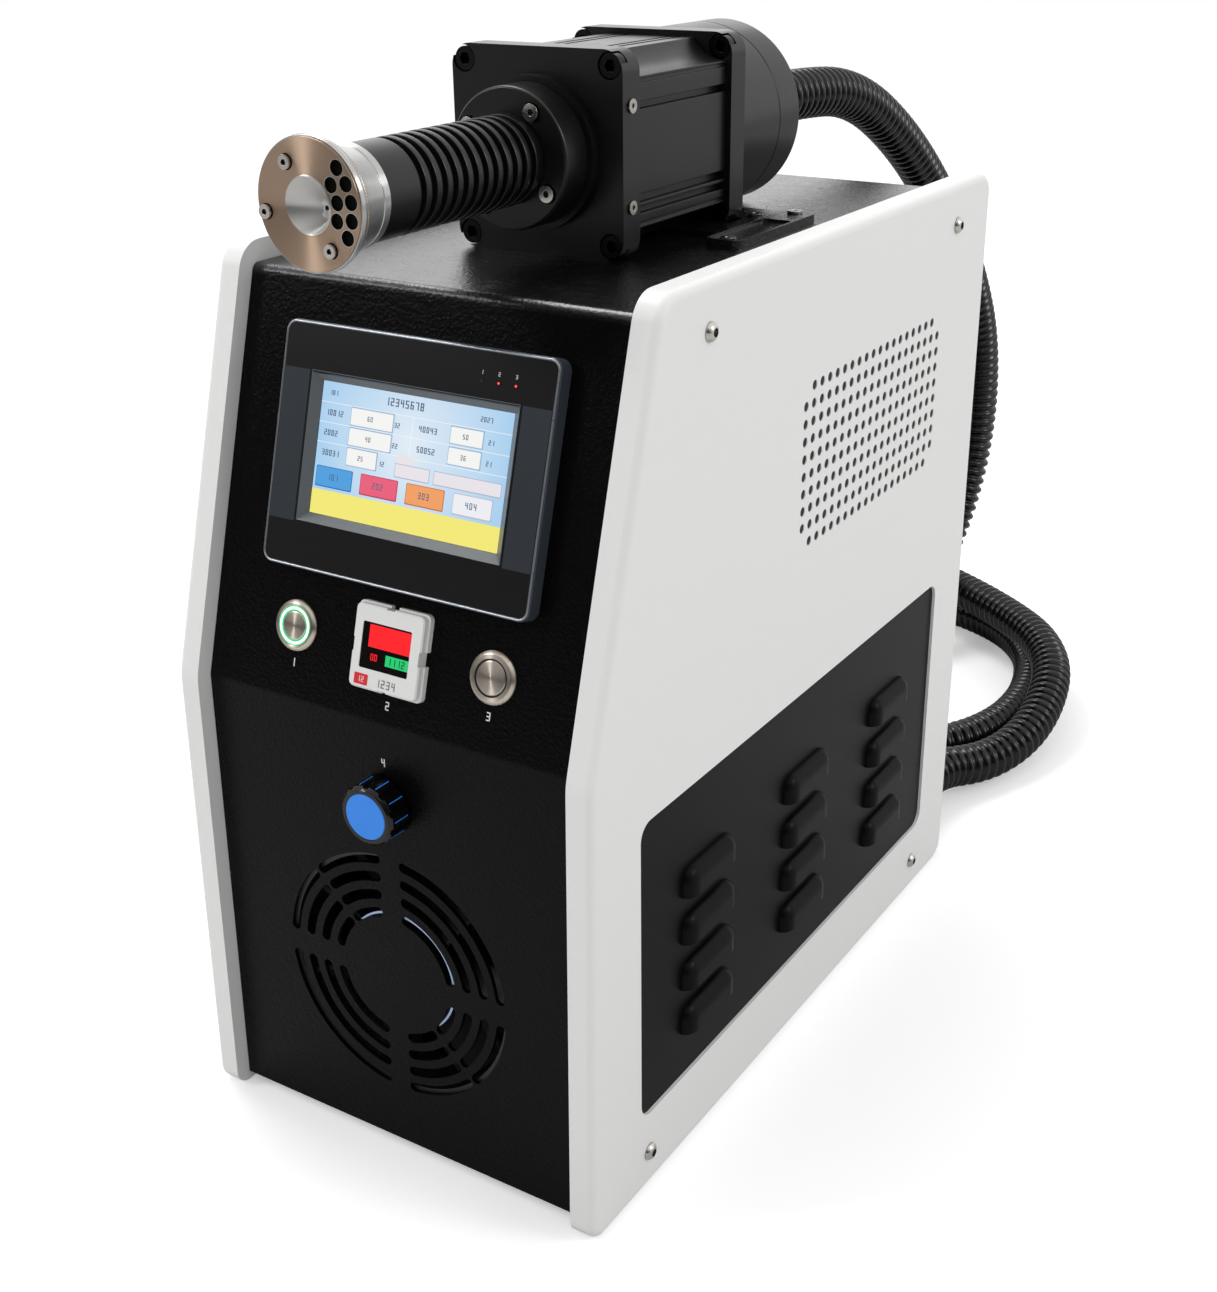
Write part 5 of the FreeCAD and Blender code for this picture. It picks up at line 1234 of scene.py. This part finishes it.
# %% Control numbers
number_rows = digits("1", LEFT_BUTTON_X - 1.0, 15.6, 3.6) + digits("2", 1.0, 8.2, 3.6)
number_rows += digits("3", RIGHT_BUTTON_X - 1.0, 15.6, 3.6)
tiles("control_numbers_upper", UPPER, number_rows, 0.0, 0.06, INK_WHITE, "black_powder_coat")
tiles("control_numbers_lower", LOWER, digits("4", -1.0, KNOB_UP + 19.5, 3.6), 0.0, 0.06, INK_WHITE,
      "black_powder_coat")
print("control numbers", 4)

# %% [markdown]
# Behind the ring slots the fan is all black but for its hub, whose rim shows as a thin
# blue-white arc through the innermost slots. The rim glows faintly as a painted glint; it is no lamp.

# %% Fan hub
FAN = LOWER @ Matrix.Translation((0, 0.0889, 0))
# Painted glint: a faint glow on the hub rim that stands for its reflection.
HUB_RIM_GLINT = glowing("hub_rim_painted_glint", "#C8D8F2", 0.35, "#B4CCF4")
rim = turned_piece("fan_hub_rim", [(28.5, -5.0), (29.1, -5.0), (29.35, -4.4), (29.1, -3.9), (28.5, -3.9)],
                   FAN, HUB_RIM_GLINT, "fan_rotor")
print("hub rim faces", len(rim.data.polygons))

# %% [markdown]
# What lies behind or inside keeps its frame shape and only gets its material.

# %% Pieces behind and inside
plain_finishes = {
    "touchscreen_display": GLASS_DARK,
    "button_nuts": PLAIN_STEEL, "regulator_body": ANODISED, "regulator_spindle": PLAIN_STEEL,
    "fan_frame": BLACK_PLASTIC, "fan_impeller": BLACK_PLASTIC, "fan_nuts": BLACK_SCREW,
    "power_supply": ZINC, "high_voltage_transformer": CORE_BROWN, "control_board": BOARD_GREEN,
    "solenoid_valve": BRASS, "air_inlet_fitting": BRASS, "power_inlet": BLACK_PLASTIC,
    "power_rocker": BLACK_PLASTIC, "hose_gland_rear": BLACK_PLASTIC, "nozzle_shaft": PLAIN_STEEL,
    "motor_rotor": PLAIN_STEEL, "motor_stator": CORE_BROWN, "gun_bearings": PLAIN_STEEL,
    "plasma_electrode": PLAIN_STEEL,
}
for node, finish in plain_finishes.items():
    nodes[node].data.materials.clear()
    nodes[node].data.materials.append(finish)
print("plain pieces", len(plain_finishes))

# %% [markdown]
# The hose takes its plastic last, once the finishes exist.

# %% Hose finish
hose.data.materials.append(HOSE_PLASTIC)
print("hose finish", HOSE_PLASTIC.name)

# %% [markdown]
# The studio is a sheet of white paper in a white room. The camera sees the paper a little lifted, so
# that only the object's soft shadow is left on it. Polished things see a room that is bright behind
# the object and dim behind the camera, which gives metal its contrast and keeps the front black.

# %% Floor
FLOOR_HALF = 6.0
PAPER_LIFT = 0.31


def seen_directly(tree, light):
    """1 for what the camera sees, straight or through glass, and 0 for light that falls on the object."""
    straight = light.outputs["Is Camera Ray"]
    through = light.outputs["Is Transmission Ray"]
    return add(tree, "Math", None, {0: straight, 1: through}, operation="MAXIMUM").outputs["Value"]


def floor_material():
    """Matte white paper, whiter to the camera than to the object, so that only the shadow is seen on it."""
    material, tree, shader = start_material("white_paper", "#CCCCCC", 0.9, Specular_IOR_Level=0.0)
    seen = seen_directly(tree, add(tree, "LightPath"))
    paper = add(tree, "Mix", {"A": linear("#CCCCCC"), "B": linear("#F8F8F8")}, {"Factor": seen},
                data_type="RGBA")
    tree.links.new(paper.outputs["Result"], shader.inputs["Base Color"])
    lift = add(tree, "Math", {1: PAPER_LIFT}, {0: seen}, operation="MULTIPLY")
    tree.links.new(lift.outputs["Value"], shader.inputs["Emission Strength"])
    shader.inputs["Emission Color"].default_value = (1, 1, 1, 1)
    return material


floor_bm = bmesh.new()
bmesh.ops.create_grid(floor_bm, x_segments=1, y_segments=1, size=FLOOR_HALF)
floor_mesh = bpy.data.meshes.new("floor")
floor_bm.to_mesh(floor_mesh)
floor_bm.free()
floor_mesh.materials.append(floor_material())
floor = linked("floor", floor_mesh)
floor.location = (0, 0, -0.0002)
print("floor", 2 * FLOOR_HALF, "m across")

# %% [markdown]
# Four weak soft boxes shape the object: one high on the left, one far right, one low left in front and
# one behind that draws a line of light along the top edges.

# %% Room light
ROOM_LIGHT = 0.74
ROOM_FRONT = 0.06
ROOM_BACK = 1.0
CEILING_SHARE = 0.9


def room():
    """Even soft light for matte things.

    The camera sees white. Polished things see a room that is dim low down in front."""
    world = bpy.data.worlds.new("room")
    world.use_nodes = True
    bpy.context.scene.world = world
    tree = world.node_tree
    light = add(tree, "LightPath")
    heading = add(tree, "SeparateXYZ", None, {"Vector": add(tree, "TexCoord").outputs["Generated"]})
    upward = add(tree, "Math", {1: CEILING_SHARE}, {0: heading.outputs["Z"], 2: heading.outputs["Y"]},
                 operation="MULTIPLY_ADD")
    mirrored = add(tree, "MapRange", {"From Min": -0.5, "From Max": 0.5, "To Min": ROOM_FRONT,
                                      "To Max": ROOM_BACK},
                   {"Value": upward.outputs["Value"]}, interpolation_type="SMOOTHSTEP")
    strength = add(tree, "Mix", {"A": ROOM_LIGHT}, {"Factor": light.outputs["Is Glossy Ray"],
                                                    "B": mirrored.outputs["Result"]})
    strength = add(tree, "Mix", {"B": 1.0}, {"Factor": seen_directly(tree, light),
                                             "A": strength.outputs["Result"]})
    background = tree.nodes["Background"]
    background.inputs["Color"].default_value = (1, 1, 1, 1)
    tree.links.new(strength.outputs["Result"], background.inputs["Strength"])


def soft_box(name, place, aim, size, watts):
    """A square area lamp, in metres and watts, that looks at a point."""
    lamp = bpy.data.lights.new(name, "AREA")
    lamp.shape = "SQUARE"
    lamp.size = size
    lamp.energy = watts
    holder = linked(name, lamp)
    holder.location = place
    holder.rotation_euler = (Vector(aim) - Vector(place)).to_track_quat("-Z", "Y").to_euler()


room()
soft_box("overhead_box", (-0.8, 0.2, 1.9), (0, 0, 0.3), 0.7, 13)
soft_box("right_box", (2.0, 0.5, 1.5), (0, 0, 0.2), 0.7, 11)
soft_box("left_front_box", (-1.6, -1.5, 1.5), (0, 0, 0.3), 0.6, 11)
soft_box("back_box", (-1.2, 1.9, 1.3), (0, 0, 0.35), 1.4, 4.5)
print("soft boxes", len(bpy.data.lights))

# %% [markdown]
# Colours are shown as they are, without a film curve.

# %% Picture settings
bpy.context.scene.view_settings.view_transform = "Standard"
